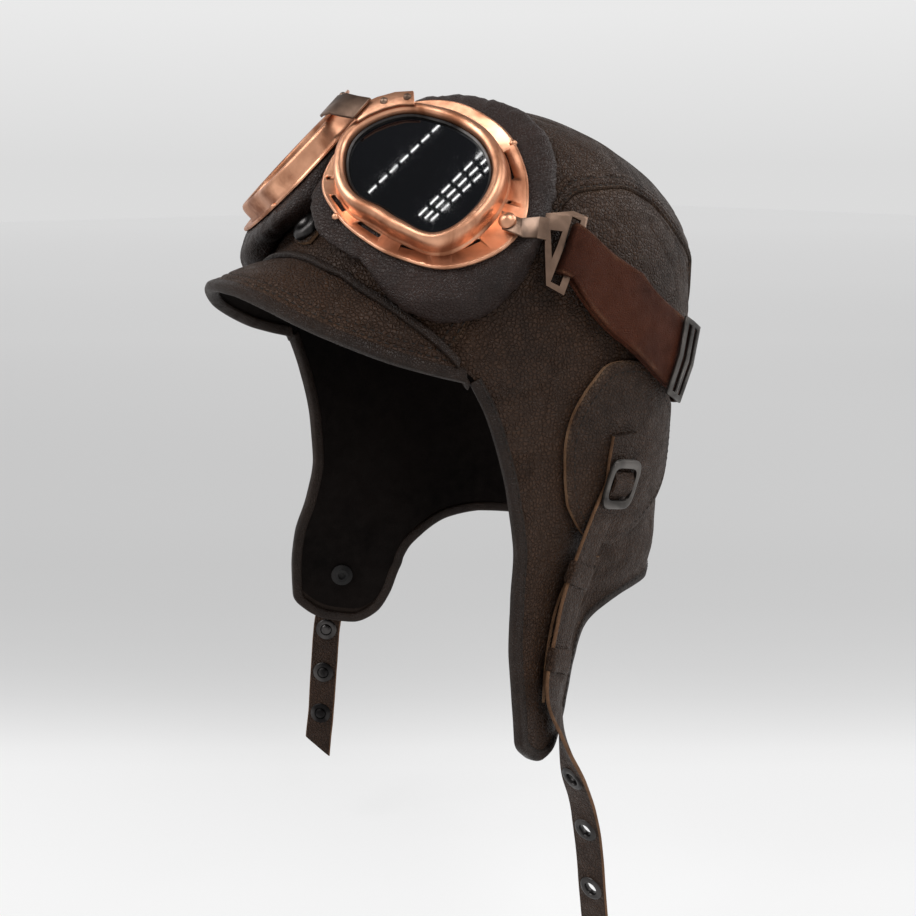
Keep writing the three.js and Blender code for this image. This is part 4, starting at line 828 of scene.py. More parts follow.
# Peak with its rolled edge
PEAK_EDGE = rows(
    "across reach drop",
    (0, 1, 0), (0.1, 0.995, 0.005), (0.3, 0.935, 0.1), (0.505, 0.818, 0.288),
    (0.805, 0.439, 0.703), (0.94, 0.17, 0.9), (1, 0, 1),
)
peak_reach = column(PEAK_EDGE, "across", "reach")
peak_drop = column(PEAK_EDGE, "across", "drop")
PEAK_CORNER = skin(ROOT["angle"][-1], ROOT["level"][-1])
PEAK_END = 0.955
PEAK_CREASES = (6.6, 9.8)
PEAK_ROWS = (3.3, 6.5)
WELT_OUT = 0.9
WELT_UP = 1.3
WELT_WIDTH = 3.4
WELT_HEIGHT = 2.6


def peak_rim(s):
    a = np.abs(s)
    wide = mix(a, np.sin(a * math.pi / 2), 0.45)
    return np.stack([np.sign(s) * wide * PEAK_WIDTH / 2, PEAK_CORNER[1] - PEAK_DEPTH * peak_reach(wide),
                     PEAK_CORNER[2] + PEAK_DROP * (1 - peak_drop(wide))], -1)


def peak_frame(s):
    """Root, rim, way out, way up and length of the peak at shares across it."""
    angle = ROOT["angle"][-1] * np.abs(s) ** 0.95
    root = skin(angle, root_level(angle))
    root[..., 0] *= np.where(s < 0, -1, 1)
    rim = peak_rim(s)
    out = rim - root
    length = np.linalg.norm(out, axis=-1, keepdims=True)
    up = unit(np.cross(peak_rim(s + 0.02) - peak_rim(s - 0.02), out))
    return root, rim, out / length, up * np.where(up[..., 2:] < 0, -1, 1), length


s, t = crossed(np.linspace(-PEAK_END, PEAK_END, 140), np.linspace(0, 1, 40))
root, _, out, up, length = peak_frame(s)
reach = mix(-0.4, length - PEAK_BINDING * 0.6, t[..., None])
arch = 4 * PEAK_ARCH * reach * (length - reach) / (length * PEAK_DEPTH)
base = root + out * reach + up * arch
left_over = (length - reach)[..., 0]
bend = 0.5 * ripple(base, 26.0, 2) - sum(0.6 * np.exp(-((left_over - d) / 0.7) ** 2) for d in PEAK_CREASES)
top = base + up * bend[..., None]
# The lighter band about 6 mm in from the peak's rim is partly rubbed leather and partly a painted highlight
# along the stitched edge.
peak = wall("peak_leather", top, base - up * PEAK_THICKNESS, [OUTER, OUTER, CLOTH], 1,
            {"wear_and_highlight": 0.25 * np.exp(-((left_over - 6) / 2.0) ** 2)}, 2)
stands(peak, "outer_leather", "peak")
lengths = arc_lengths(top[:, ::-1], 1)
for d in PEAK_ROWS:
    threads.append((row_at(top[:, ::-1], lengths, d), row_at(up[:, ::-1], lengths, d)))
_, rim, out, up, _ = peak_frame(np.linspace(-0.998, 0.998, 170))
middle = rim - out * (PEAK_BINDING / 2) - up * (PEAK_THICKNESS / 2)
pucker = 1 + 0.06 * ripple(middle, 5.0, 8)
stands(rolled_edge("peak_roll", middle, out, up, PEAK_BINDING, PEAK_BINDING_THICKNESS, pucker),
       "outer_leather", "peak_binding")
root, _, out, up, _ = peak_frame(np.linspace(-0.95, 0.95, 160))
middle = root + out * WELT_OUT + up * WELT_UP
pucker = 1 + 0.09 * ripple(middle, 5.0, 11)
rolled_edge("peak_welt", middle, out, up, WELT_WIDTH, WELT_HEIGHT, pucker)

# Ear patches and strap bases
EAR_CENTRE = (98, 0.38)
EAR_DOME = 2.2
ROLL_START = 0.96
EAR_PATCH = [(112.1, 0.254), (101.8, 0.192), (90.1, 0.172), (85, 0.203), (80.6, 0.26), (78.9, 0.316),
             (78.9, 0.374), (79.3, 0.429), (80.6, 0.473), (86.4, 0.54), (96.3, 0.577), (104.7, 0.561),
             (115.7, 0.523), (126.1, 0.457), (126.4, 0.36), (120.5, 0.296)]
BASE_EDGES = rows(
    "share front rear level",
    (0, 85.2, 93.5, 0.598), (0.25, 77, 90, 0.66), (0.5, 71.3, 85, 0.73),
    (0.75, 67.6, 81.5, 0.8), (1, 66, 79.5, 0.858),
)
BASE_ROWS = (4, 21)


def laid_patch(name, outline, centre, thickness, dome, seed, turn):
    """Leather patch over the shell, with a rounded raw edge."""
    n = len(outline)
    rings = np.concatenate([np.linspace(0.02, 0.93, 16), [ROLL_START, 0.98, 0.992, 1.0]])
    ring, _ = crossed(rings, np.arange(n + 1))
    closed = np.concatenate([outline, outline[:1]])
    angle = mix(centre[0], closed[None, :, 0], ring)
    level = mix(centre[1], closed[None, :, 1], ring)
    roll = np.clip((ring - ROLL_START) / (1 - ROLL_START), 0, 1) ** 2 * 0.6
    furrow = 0.3 * np.exp(-((ring - 0.9) / 0.012) ** 2)
    rise = thickness - roll - furrow + dome * np.clip(1 - ring ** 2, 0, 1)
    top = lifted(angle, level, PATCH_LIFT + rise)
    top = top + normal_at(angle, level) * (0.35 * ripple(top, 16.0, seed) * (ring < 0.9))[..., None]
    low = lifted(angle, level, PATCH_LIFT - 0.3)
    path = lifted(mix(centre[0], closed[:, 0], 0.9), mix(centre[1], closed[:, 1], 0.9),
                  PATCH_LIFT + thickness - 0.1 + dome * 0.19)
    r, c = ring.shape
    count = r * c
    wear_and_highlight = np.clip((ring - 0.95) / 0.05, 0, 1)
    points = turn(np.concatenate([top.reshape(-1, 3), low.reshape(-1, 3)]))
    faces = np.concatenate([grid_faces(r, c), grid_faces(r, c, count, True)]).tolist()
    slots = [0] * len(faces)
    for k in range((r - 1) * c, r * c - 1):
        faces.append((k, k + 1, count + k + 1, count + k))
        slots.append(1)
    for start_at in (0, count):
        faces.append(tuple(start_at + k for k in range(c - 1)))
        slots.append(0)
    item = make_object(name, points, faces, [OUTER, RAW], slots, {"wear_and_highlight": np.concatenate([wear_and_highlight.ravel()] * 2)})
    weld(item)
    threads.append((turn(path), turn(normal_at(closed[:, 0], closed[:, 1]))))
    return item


def weld(item):
    """Joins the points where a closed grid meets itself."""
    work = bmesh.new()
    work.from_mesh(item.data)
    bmesh.ops.remove_doubles(work, verts=work.verts, dist=WELD)
    bmesh.ops.recalc_face_normals(work, faces=work.faces)
    work.to_mesh(item.data)
    work.free()


for side, turn in SIDE_TURN.items():
    ear = smooth_path(EAR_PATCH, 10, True)
    item = laid_patch(f"ear_leather_{side}", ear, EAR_CENTRE, PATCH_THICKNESS + 0.4, EAR_DOME, 6, turn)
    stands(item, "outer_leather", f"ear_patch_{side}")
    share, wide = crossed(np.linspace(0, 1, 60), np.linspace(0, 1, 26))
    front, rear, level = (column(BASE_EDGES, "share", k)(share) for k in ("front", "rear", "level"))
    angle = mix(front, rear, wide)
    level = level + 0.012 * (wide - 0.5)
    edge = np.minimum(np.minimum(wide, 1 - wide) * 14, np.minimum(share, 1 - share) * 50)
    rise = PATCH_THICKNESS - 0.6 * np.clip(1 - edge, 0, 1) ** 2 - 0.25 * np.exp(-((edge - 2) / 0.5) ** 2)
    top = lifted(angle, level, PATCH_LIFT + rise)
    low = lifted(angle, level, PATCH_LIFT - 0.3)
    ups = normal_at(angle, level)
    item = wall(f"strap_base_leather_{side}", turn(top), turn(low), [OUTER, RAW], 1, {"wear_and_highlight": np.exp(-edge)})
    stands(item, "outer_leather", f"strap_base_{side}")
    for k in BASE_ROWS:
        threads.append((turn(top[3:-3, k] + 0.1 * ups[3:-3, k]), turn(ups[3:-3, k])))

# Chin straps
STRAP_LIFT = PATCH_LIFT + PATCH_THICKNESS + 0.6 + KEEPER_WALL + CHIN_STRAP_THICKNESS / 2 + 0.5
STRAP_PATH = np.array([(92.6, 0.318), (92.3, 0.37), (92.1, 0.422), (89.5, 0.473), (87.1, 0.52), (81.5, 0.61),
                       (77.4, 0.664), (73.8, 0.718), (70.5, 0.77), (67.7, 0.823)])
BUCKLE_ROW = 2
KEEPER_ROWS = {"upper": 5, "lower": 8}
FREE = {
    "left": [(0.917, 1.032, -0.251, -42, 0), (0.9755, 1.018, -0.212, -27, 0), (1.073, 1.004, -0.145, 5, 1),
             (1.146, 0.994, -0.088, 9, 0), (1.221, 0.988, -0.051, 14, 1), (1.302, 0.982, -0.02, 14.6, 0),
             (1.383, 0.98, 0.002, 14.6, 1), (1.461, 0.977, 0.022, 14.6, 0), (1.536, 0.971, 0.046, 14.6, 0)],
    "right": [(0.917, 1.071, -0.286, -49, 0), (0.969, 1.076, -0.305, -49, 0), (1.031, 1.07, -0.336, -49, 1),
              (1.154, 1.064, -0.366, -48, 1), (1.273, 1.058, -0.393, -47, 1), (1.328, 1.055, -0.41, -46, 0),
              (1.37, 1.053, -0.422, -45, 0)],
}


def strap_rows(free):
    """Middle, way across, way along and way up of each row of a chin strap."""
    middle = lifted(STRAP_PATH[:, 0], STRAP_PATH[:, 1], STRAP_LIFT)
    hang = np.array([(out * HALF_WIDTH, APEX_SHIFT + along * FRONT_REACH, BROW_LEVEL - SIDE_DEPTH * drop)
                     for drop, out, along, _, _ in free])
    turn = np.radians([f[3] for f in free])
    face = np.stack([np.cos(turn), np.sin(turn), np.zeros_like(turn)], -1)
    points = np.concatenate([middle, hang])
    along = unit(np.concatenate([points[1:], points[-1:]]) - np.concatenate([points[:1], points[:-1]]))
    laid = len(STRAP_PATH)
    across = np.concatenate([np.cross(along[:laid], normal_at(STRAP_PATH[:, 0], STRAP_PATH[:, 1])), face])
    across = unit(across - along * np.sum(across * along, -1, keepdims=True))
    return points, across, along, unit(np.cross(across, along))


STRAP_SECTION = [(7, 0.35), (6.6, 0.8), (4, 0.95), (0, 0.9), (-4, 0.95), (-6.6, 0.8), (-7, 0.35),
                 (-7, -0.35), (-6.6, -0.8), (-4, -0.95), (0, -0.9), (4, -0.95), (6.6, -0.8), (7, -0.35)]
STRAP_EDGE_FACES = (0, 5, 6, 7, 12, 13)
EYELET_RINGS = [(2.75, 1.1), (3.1, 1.55), (4.2, 1.7), (5.2, 1.4), (5.5, 0.95), (5.3, 0.85), (3.4, 0.85),
                (3.4, -0.85), (5.3, -0.85), (5.5, -0.95), (5.2, -1.4), (4.2, -1.7), (3.1, -1.55),
                (2.75, -1.1), (2.75, 1.1)]
EYELET_HOLE = 3.5
STUD = [(0, 2.7), (1.1, 2.6), (2.1, 2.2), (2.8, 1.5), (3.0, 0.8),
        (3.0, -0.8), (2.8, -1.5), (2.1, -2.2), (1.1, -2.6), (0, -2.7)]
BUCKLE_LIFT = CHIN_STRAP_THICKNESS / 2 + 1.5
BUCKLE_OUTER = (9.3, BUCKLE_LENGTH / 2)
BUCKLE_OPENING = (7.0, 6.6)
BUCKLE_ROUNDNESS = 4.5
BUCKLE_HALF_HEIGHT = 1.25
KEEPER_HALF = (CHIN_STRAP_WIDTH / 2 + 0.75, CHIN_STRAP_THICKNESS / 2 + 0.85)


def ring_loft(name, stations, sections, material):
    """Closed loop of sections at stations given as middle, outward and side axes."""
    loops = [m + np.outer([a for a, _ in sec], o) + np.outer([b for _, b in sec], w)
             for (m, o, w), sec in zip(stations, sections)]
    return loft(name, loops, [material], closed=True, sharp=35)


def rounded(outer, power, count):
    """Even walk round a rounded box of these half sizes."""
    a = np.arange(count) * 2 * math.pi / count
    c, k = np.cos(a), np.sin(a)
    return np.stack([np.sign(c) * np.abs(c) ** (2 / power) * outer[0],
                     np.sign(k) * np.abs(k) ** (2 / power) * outer[1]], -1)


for side, turn in SIDE_TURN.items():
    points, across, along, up = strap_rows(FREE[side])
    fine = smooth_path(points, 8)
    fine_across = unit(smooth_path(across, 8))
    fine_along = unit(np.gradient(fine, axis=0))
    fine_across = unit(fine_across - fine_along * np.sum(fine_across * fine_along, -1, keepdims=True))
    fine_up = np.cross(fine_across, fine_along)
    sag = 0.35 * ripple(fine, 20.0, 31)
    wide = 1 + 0.02 * ripple(fine, 9.0, 12)
    slant = np.zeros(len(fine))
    slant[-7:] = np.linspace(0, -4.5, 7) if side == "right" else 0
    loops = [np.array([turn(m + x * a * w + u * (b + s) + l * e * (a / 7))
                       for a, b in STRAP_SECTION])
             for m, x, u, l, s, w, e in zip(fine, fine_across, fine_up, fine_along, sag, wide, slant)]
    item = loft(f"chin_strap_leather_{side}", loops, [OUTER, RAW],
                slot_of=lambda j: int(j in STRAP_EDGE_FACES))
    spots = [len(STRAP_PATH) + i for i, f in enumerate(FREE[side]) if f[4]]
    holes = []
    for i in spots:
        p, f = prism(turn(points[i]), turn(across[i]), turn(along[i]), circle(EYELET_HOLE), 4)
        holes.append((p, f if side == "left" else [face[::-1] for face in f]))
    cut_with(item, holes)
    stands(item, "outer_leather", f"chin_strap_{side}")
    for k, i in enumerate(spots):
        u = turn(up[i])
        at = turn(points[i] + up[i] * sag[8 * i])
        ring = turned(f"eyelet_{side}_{k + 1}", EYELET_RINGS, at, turn(across[i]), u, [DARK], 36, 40)
        stands(ring, "dark_metal", f"strap_eyelet_{side}_{k + 1}")
        if side == "right":
            stud = turned(f"stud_{side}_{k + 1}", STUD, at, turn(across[i]), u, [DARK], 36, 40)

    # Buckle over the cut end of the strap, with the leather loop that holds it
    m, x, l, u = points[BUCKLE_ROW], across[BUCKLE_ROW], along[BUCKLE_ROW], up[BUCKLE_ROW]
    m = m + u * BUCKLE_LIFT
    outer, inner = (rounded(half, BUCKLE_ROUNDNESS, 72) for half in (BUCKLE_OUTER, BUCKLE_OPENING))
    sections, stations = [], []
    for (ox, oy), (ix, iy) in zip(outer, inner):
        centre = m + x * (ox + ix) / 2 + l * (oy + iy) / 2
        reach = x * (ox - ix) / 2 + l * (oy - iy) / 2
        half = float(np.linalg.norm(reach))
        stations.append((turn(centre), turn(reach / half), turn(u)))
        sections.append([(half * math.cos(a), BUCKLE_HALF_HEIGHT * math.sin(a) * abs(math.sin(a)) ** -0.25
                          if abs(math.sin(a)) > 1e-6 else 0.0) for a in np.arange(12) * math.pi / 6])
    item = ring_loft(f"buckle_frame_{side}", stations, sections, STEEL)
    stands(item, "dark_metal", f"strap_buckle_{side}")
    loops = [np.array([turn(m + l * b + x * a * 0.88 + u * (2.2 * math.cos(b * math.pi / 10.8) - 1.2 + c))
                       for a, c in STRAP_SECTION]) for b in np.linspace(-5, 5, 13)]
    loft(f"buckle_loop_{side}", loops, [OUTER])

    for place, row in KEEPER_ROWS.items():
        m, x, l, u = points[row], across[row], along[row], up[row]
        stations, sections = [], []
        for ox, oy in rounded(KEEPER_HALF, 5, 64):
            out = unit(np.array([ox * 0.02 + math.copysign(abs(ox / KEEPER_HALF[0]) ** 6, ox), oy]))
            stations.append((turn(m + x * ox + u * oy), turn(x * out[0] + u * out[1]), turn(l)))
            sections.append([(a * KEEPER_WALL / 2, b * KEEPER_LENGTH / 2) for a, b in ROUND])
        item = ring_loft(f"keeper_{place}_leather_{side}", stations, sections, OUTER)
        stands(item, "outer_leather", f"strap_keeper_{place}_{side}")

# Tab and snap at the brow, and snap backs inside the flaps
BROW_SNAP = (0, -0.225)
FLAP_SNAP = (73, 0.861)
TAB_HALF = (4.1, 0.078)
tab = []
for k in range(48):
    a = k * 7.5 * math.pi / 180
    r = 1 / max(abs(math.cos(a)), abs(math.sin(a))) ** 0.6
    tab.append((BROW_SNAP[0] + TAB_HALF[0] * math.cos(a) * r, BROW_SNAP[1] + TAB_HALF[1] * math.sin(a) * r))
item = laid_patch("brow_tab_leather", np.array(tab), BROW_SNAP, PATCH_THICKNESS, 0.3, 15, SIDE_TURN["left"])
stands(item, "outer_leather", "brow_tab")
CAP = [(0.01, 1.9), (1.2, 1.95), (2.2, 2.3), (2.9, 2.75), (4.2, 2.7), (5.4, 2.2), (6.2, 1.4),
       (6.5, 0.6), (6.5, 0.1), (6.1, 0), (0.01, 0)]
at = lifted(*BROW_SNAP, PATCH_LIFT + PATCH_THICKNESS + 0.5)
item = turned("brow_snap_cap", CAP, at, np.array([1.0, 0, 0]), normal_at(*BROW_SNAP), [DARK], 48, 40)
stands(item, "dark_metal", "brow_snap")
flap_normal = -normal_at(*FLAP_SNAP)
flap_side = unit(np.cross(flap_normal, [0, 0, 1.0]))
at = lifted(*FLAP_SNAP, LINING_LIFT - LINING - 0.8)
BACK = [(0.01, 0.7), (1.6, 0.7), (2.0, 1.7), (3.3, 1.8), (3.8, 1.3), (5.0, 0.9), (5.5, 0.4), (5.4, 0),
        (0.01, 0)]
for side, turn in SIDE_TURN.items():
    item = turned(f"flap_snap_back_{side}", BACK, turn(at), turn(flap_side), turn(flap_normal), [DULL],
                  40, 40)
    stands(item, "dark_metal", f"flap_snap_{side}")

# Goggles
CUP_TURN, CUP_TILT, GOGGLE_YAW, GOGGLE_ROLL = (math.radians(v) for v in (31.5, 43, 4.9, -3.2))
SEAT_FORWARD = 0.541
SEAT_RISE = 0.558
GOGGLE_SEAT = np.array([1, -SEAT_FORWARD * FRONT_REACH, BROW_LEVEL + SEAT_RISE * CROWN_RISE])
CUP_N = np.array([math.sin(CUP_TURN) * math.cos(CUP_TILT), -math.cos(CUP_TURN) * math.cos(CUP_TILT),
                  math.sin(CUP_TILT)])
CUP_U = np.array([math.cos(CUP_TURN), math.sin(CUP_TURN), 0])
CUP_V = np.cross(CUP_N, CUP_U)
GOGGLE_TURN = np.array(Matrix.Rotation(GOGGLE_YAW, 3, "Z") @ Matrix.Rotation(-GOGGLE_ROLL, 3, "Y"))
CUP_OUTLINE = rows(
    "angle opening flange pad",
    (-30, 0.823, 1, 0.83), (0, 0.786, 0.87, 0.8), (30, 0.731, 0.8, 0.83), (60, 0.706, 0.804, 0.84),
    (90, 0.76, 0.876, 0.87), (120, 0.923, 0.913, 0.86), (150, 1, 0.902, 0.76), (180, 0.857, 0.892, 0.7),
    (210, 0.703, 0.75, 0.57), (240, 0.566, 0.691, 0.54), (270, 0.643, 0.746, 0.8), (300, 0.869, 0.92, 0.91),
    (330, 0.823, 1, 0.83), (360, 0.786, 0.87, 0.8), (390, 0.731, 0.8, 0.83),
)
PAD_CLEAR = 1.2
PAD_DEEPEST = 24
root_line = skin(ROOT["angle"], ROOT["level"])
PEAK_ROOT = {"x": root_line[:-1, 0], "z": root_line[:-1, 2]}
peak_root_height = column(PEAK_ROOT, "x", "z")
around = np.arange(144) * 2.5


def cup_point(side, angle, reach, height):
    """Point at an angle, reach and height from a cup's middle; side is 1 for left and -1 for right."""
    a = np.radians(np.asarray(angle, float))
    reach, height = np.asarray(reach, float), np.asarray(height, float)
    p = (np.array([GOGGLE_SPACING / 2, 0, 0]) + (reach * np.cos(a))[..., None] * CUP_U
         + (reach * np.sin(a))[..., None] * CUP_V + (height + 0 * a)[..., None] * CUP_N)
    return (p * np.array([side, 1, 1])) @ GOGGLE_TURN.T + GOGGLE_SEAT


def outline(name):
    values = column(CUP_OUTLINE, "angle", name)(around)
    kernel = np.hanning(11) / np.hanning(11).sum()
    return np.convolve(np.concatenate([values[-5:], values, values[:5]]), kernel, "valid")


OPENING, FLANGE, PADDED = (outline(k) * size for k, size in
                           (("opening", OPENING_REACH), ("flange", FLANGE_REACH), ("pad", PAD_REACH)))


def pad_depth(side, reach):
    """How far behind the flange the leather is, at each angle."""
    deep = np.arange(0, PAD_DEEPEST, 0.25)
    p = cup_point(side, around[:, None] + 0 * deep, reach[:, None] + 0 * deep, -deep[None, :])
    inside = (outside(p) <= 0) | (p[..., 2] < peak_root_height(np.abs(p[..., 0])) + 2.2)
    first = np.where(inside.any(1), deep[np.argmax(inside, 1)], PAD_DEEPEST)
    return np.clip(first - PAD_CLEAR * 1.2, 0.7, 20)


def nasal_reach(height):
    """How far the cup's leather may go before it meets the other cup's."""
    x = np.cos(np.radians(around)) * CUP_U[0] + np.sin(np.radians(around)) * CUP_V[0]
    with np.errstate(divide="ignore", invalid="ignore"):
        limit = (GOGGLE_SPACING / 2 + height * CUP_N[0] - PAD_CLEAR) / -x
    return np.where(x >= -0.05, PAD_REACH, limit)


def spun(values):
    """Values round the cup, evened out."""
    kernel = np.hanning(11)[1:-1]
    return np.convolve(np.concatenate([values[-4:], values, values[:4]]), kernel / kernel.sum(), "valid")


NASAL_FULLNESS = 7
NASAL_MIDDLE = 212


def puffed(side, name):
    """Padded leather ring behind a cup, gathered where it bulges."""
    inner = OPENING + 1
    front = FLANGE - 0.6
    deep = pad_depth(side, np.minimum(PADDED, nasal_reach(-2)))
    edge = np.minimum(np.maximum(PADDED, inner + 6), nasal_reach(-deep))
    fuller = NASAL_FULLNESS * np.exp(-((around - NASAL_MIDDLE) / 36) ** 2)
    bulge = np.minimum(mix(front, edge, 0.62) + 2.4 + fuller, nasal_reach(-0.45 * deep))
    near = np.minimum(inner + 1, edge - 3)
    middle = (near + edge) / 2
    deep_middle = np.minimum(pad_depth(side, middle), deep)
    deep_near = np.minimum(pad_depth(side, near), deep)
    ring = [(inner, -0.4 + 0 * deep), (front, -0.4 + 0 * deep), (bulge, -0.3 * deep),
            (np.minimum(edge + 1.2 + 0.6 * fuller, nasal_reach(-0.75 * deep)), -0.75 * deep),
            (edge - 1, -deep), (middle, -deep_middle), (near, -deep_near)]
    flat = np.stack([np.stack([spun(r), spun(h)], -1) for r, h in ring], 1)
    flat = smooth_closed(flat, 5)
    rest = cup_point(side, around[:, None] + 0 * flat[..., 0], flat[..., 0], np.minimum(flat[..., 1], -0.35))
    ups = unit(np.cross(np.roll(rest, -1, 0) - np.roll(rest, 1, 0),
                        np.roll(rest, -1, 1) - np.roll(rest, 1, 1)))
    middle = rest.mean(1, keepdims=True)
    ups = ups * np.sign(np.sum(ups * (rest - middle), -1, keepdims=True))
    t = np.linspace(0, 1, flat.shape[1], endpoint=False)
    bulging = np.clip(np.sin((t - 0.1) / 0.55 * math.pi), 0, 1) * (t < 0.65)
    a = np.radians(around)
    gathers, fine = (
        np.array([[noise.noise(Vector((math.cos(q) * size, math.sin(q) * size, w * along + side * seed)))
                   for w in t] for q in a]) for size, along, seed in ((7, 2.2, 5), (17, 3.1, 9)))
    dip = 0.7 - 0.8 * np.exp(-(gathers / 0.12) ** 2) - 0.35 * np.exp(-(fine / 0.12) ** 2) + 0.8 * gathers
    points = rest + ups * (dip * bulging)[..., None]
    item = loft(f"pad_leather_{name}", points, [PAD], closed=True, sharp=80)
    return stands(item, "pad_leather", f"goggle_pad_{name}")


VENTS = [((27.3, 15.5), (32.8, 4.7)), ((19.2, -29.7), (27.1, -24.1)), ((-0.3, -28.8), (9.4, -30.6)),
         ((-19.7, -20.1), (-10.7, -25.1)), ((-33.8, -8.7), (-27.8, -14.7)), ((34.3, -6.4), (34.4, -6.4)),
         ((-38.4, -0.2), (-38.3, -0.2))]
VENT_HALF = 0.85
VENT_SPAN = (-1.5, 4)
BEZEL = [(0, 0.08), (0, 0.72), (0.03, 0.88), (0.12, 0.97), (0.28, 1.0), (0.5, 1.02), (0.7, 0.98),
         (0.86, 0.88), (0.95, 0.72), (0.99, 0.5), (1.0, 0.3), (1.06, 0.2), (1.18, 0.14), (1.18, 0.1)]
FLANGE_RIVETS = ((36, -15.8), (30.5, 21.5), (-21.5, 33.5), (-31, -18.5))
WING_RIVET_ANGLES = (112, 126)
WING_RIVET_REACH = 4.5
CLIP_RIVET = (-25, 40.5, 4.4)


def vent_cut(side, a, b):
    """Cutter for a round-ended slot in the flange."""
    a, b = np.array(a), np.array(b)
    way = unit(b - a)
    round_end = [VENT_HALF * (way * math.cos(t) + np.array([-way[1], way[0]]) * math.sin(t))
                 for t in np.linspace(-math.pi / 2, math.pi / 2, 7)]
    flat = [b + v for v in round_end] + [a - v for v in round_end]
    spots = [(math.degrees(math.atan2(v, u)), math.hypot(u, v)) for u, v in flat]
    points = [cup_point(side, s, r, h) for h in VENT_SPAN for s, r in spots]
    faces = prism_faces(len(spots))
    if side < 0:
        faces = [f[::-1] for f in faces]
    return points, faces


def rivet(name, at, axis, x, size, material, slot, *nodes):
    dome = [(0.01, 0.75 * size), (0.4 * size, 0.68 * size), (0.75 * size, 0.45 * size),
            (0.95 * size, 0.15 * size), (size, -0.1), (0.01, -0.1)]
    return stands(turned(name, dome, at, x, axis, [material], 28, 60), slot, *nodes)


def cup_rings(side, profile):
    """Rings round a cup, from a profile of reach and height."""
    return np.stack([cup_point(side, around, r, h + 0 * OPENING) for r, h in profile], 1)


for side, name in ((1, "left"), (-1, "right")):
    puffed(side, name)
    plate = [(OPENING, 0.0), (FLANGE - 0.5, 0.0), (FLANGE, 0.4), (FLANGE, 1.0), (FLANGE - 0.5, 1.5),
             (FLANGE - 1.2, 1.55), (FLANGE - 1.9, 1.1), (OPENING, 1.0)]
    item = loft(f"flange_plate_{name}", cup_rings(side, plate), [COPPER], closed=True, sharp=40)
    cut_with(item, [vent_cut(side, a, b) for a, b in VENTS])
    stands(item, "copper", f"goggle_flange_{name}")
    loops = cup_rings(side, [(OPENING + r * BEZEL_WIDTH, h * BEZEL_HEIGHT) for r, h in BEZEL])
    item = loft(f"bezel_rim_{name}", loops, [COPPER], closed=True, sharp=50)
    stands(item, "copper", f"goggle_bezel_{name}")
    x = unit(cup_point(side, 0, 1, 0) - cup_point(side, 0, 0, 0))
    axis = unit(cup_point(side, 0, 0, 1) - cup_point(side, 0, 0, 0))
    steps = np.concatenate([np.linspace(0.03, 0.9, 16), [0.93, 0.96, 0.98, 0.995]])
    rings = [(0.03, LENS_LEVEL), (1.0, LENS_LEVEL)] + [
        (q, LENS_LEVEL + LENS_THICKNESS - (0.35 if q > 0.985 else 0)) for q in steps[::-1]]
    loops = [cup_point(side, around, (OPENING - 0.25) * q, h + 0 * OPENING) for q, h in rings]
    stands(loft(f"lens_glass_{name}", loops, [LENS], sharp=60), "dark_lens", f"goggle_lens_{name}")
    ring = [(OPENING - 1.7, 4.6), (OPENING - 1.5, 5.9), (OPENING - 0.7, 6.3), (OPENING - 0.1, 5.9),
            (OPENING - 0.1, 4.6)]
    item = loft(f"lens_ring_{name}", cup_rings(side, ring), [DARK], closed=True, sharp=50)
    for k, (u, v) in enumerate(FLANGE_RIVETS):
        at = cup_point(side, math.degrees(math.atan2(v, u)), math.hypot(u, v) - 1.2, 1.0)
        rivet(f"flange_rivet_{name}_{k + 1}", at, axis, x, 1.5, COPPER, "copper")
    refined(f"bridge_plate_{name}", f"bridge_wing_{name}", COPPER, 0.35)
    for k, a in enumerate(WING_RIVET_ANGLES):
        at = cup_point(side, a, np.interp(a, around, OPENING) + WING_RIVET_REACH, BEZEL_HEIGHT + 1.6)
        item = rivet(f"wing_rivet_{name}_{k + 1}", at, axis, x, 1.6, ANTIQUE, "antique_metal")
    refined(f"side_clip_{name}", f"clip_plate_{name}", ANTIQUE, 0.35)
    refined(f"strap_bracket_{name}", f"bracket_plate_{name}", ANTIQUE, 0.4)
    at = cup_point(side, *CLIP_RIVET)
    rivet(f"clip_rivet_head_{name}", at, axis, x, 3.3, COPPER, "copper", f"clip_rivet_{name}")
refined("bridge_link", "bridge_hinge", ANTIQUE, 0.35)
refined("strap_slider", "slider_frame", STEEL, 0.45)

# Goggle strap, folded round the bracket's rear bar at each temple
BRACKET_SPOT = (76.3, -0.144)
STRAP_REACH = 157.5
STRAP_HALF_WIDTH = 13
FOLD_START = 3.2
FORWARD = np.array([-0.898, 0.44])
BAR_ENDS = ((6.4, 7.3), (-1.3, -8.6))
by_bracket = chart(*BRACKET_SPOT)
fold_top, fold_low = (by_bracket(*(np.array(end) + FORWARD * FOLD_START)) for end in BAR_ENDS)
STRAP_EDGES = rows(
    "share top_angle top_level low_angle low_level",
    (0, *fold_top, *fold_low),
    (0.121, 90.5, -0.085, 84, 0.083), (0.229, 99, 0.036, 91.5, 0.145), (0.388, 116, 0.119, 105, 0.229),
    (0.569, 132.5, 0.164, 127, 0.29), (0.734, 151, 0.193, 149.5, 0.326), (1, 180, 0.203, 180, 0.339),
)


def eased(name):
    """A strap edge's column, evened out so that the edge runs in one smooth line."""
    shares = np.linspace(0, 1, 201)
    values = column(STRAP_EDGES, "share", name)(shares)
    kernel = np.hanning(33)[1:-1]
    padded = np.concatenate([2 * values[0] - values[15:0:-1], values,
                             2 * values[-1] - values[-2:-17:-1]])
    smooth = np.convolve(padded, kernel / kernel.sum(), "valid")
    return lambda s: np.interp(s, shares, smooth)


edge_of = {k: eased(k) for k in STRAP_EDGES if k != "share"}
INNER_LIFT = 3.8
OUTER_LIFT = INNER_LIFT + GOGGLE_STRAP_THICKNESS + 0.6
FOLD = [(1.8, 3.8), (-1.4, 3.9), (-2.9, 4.9), (-2.9, 7.6), (-1.4, 8.8), (2.6, 8.8), (10, 6.9)]
RETURN = {"left": 68, "right": 18}


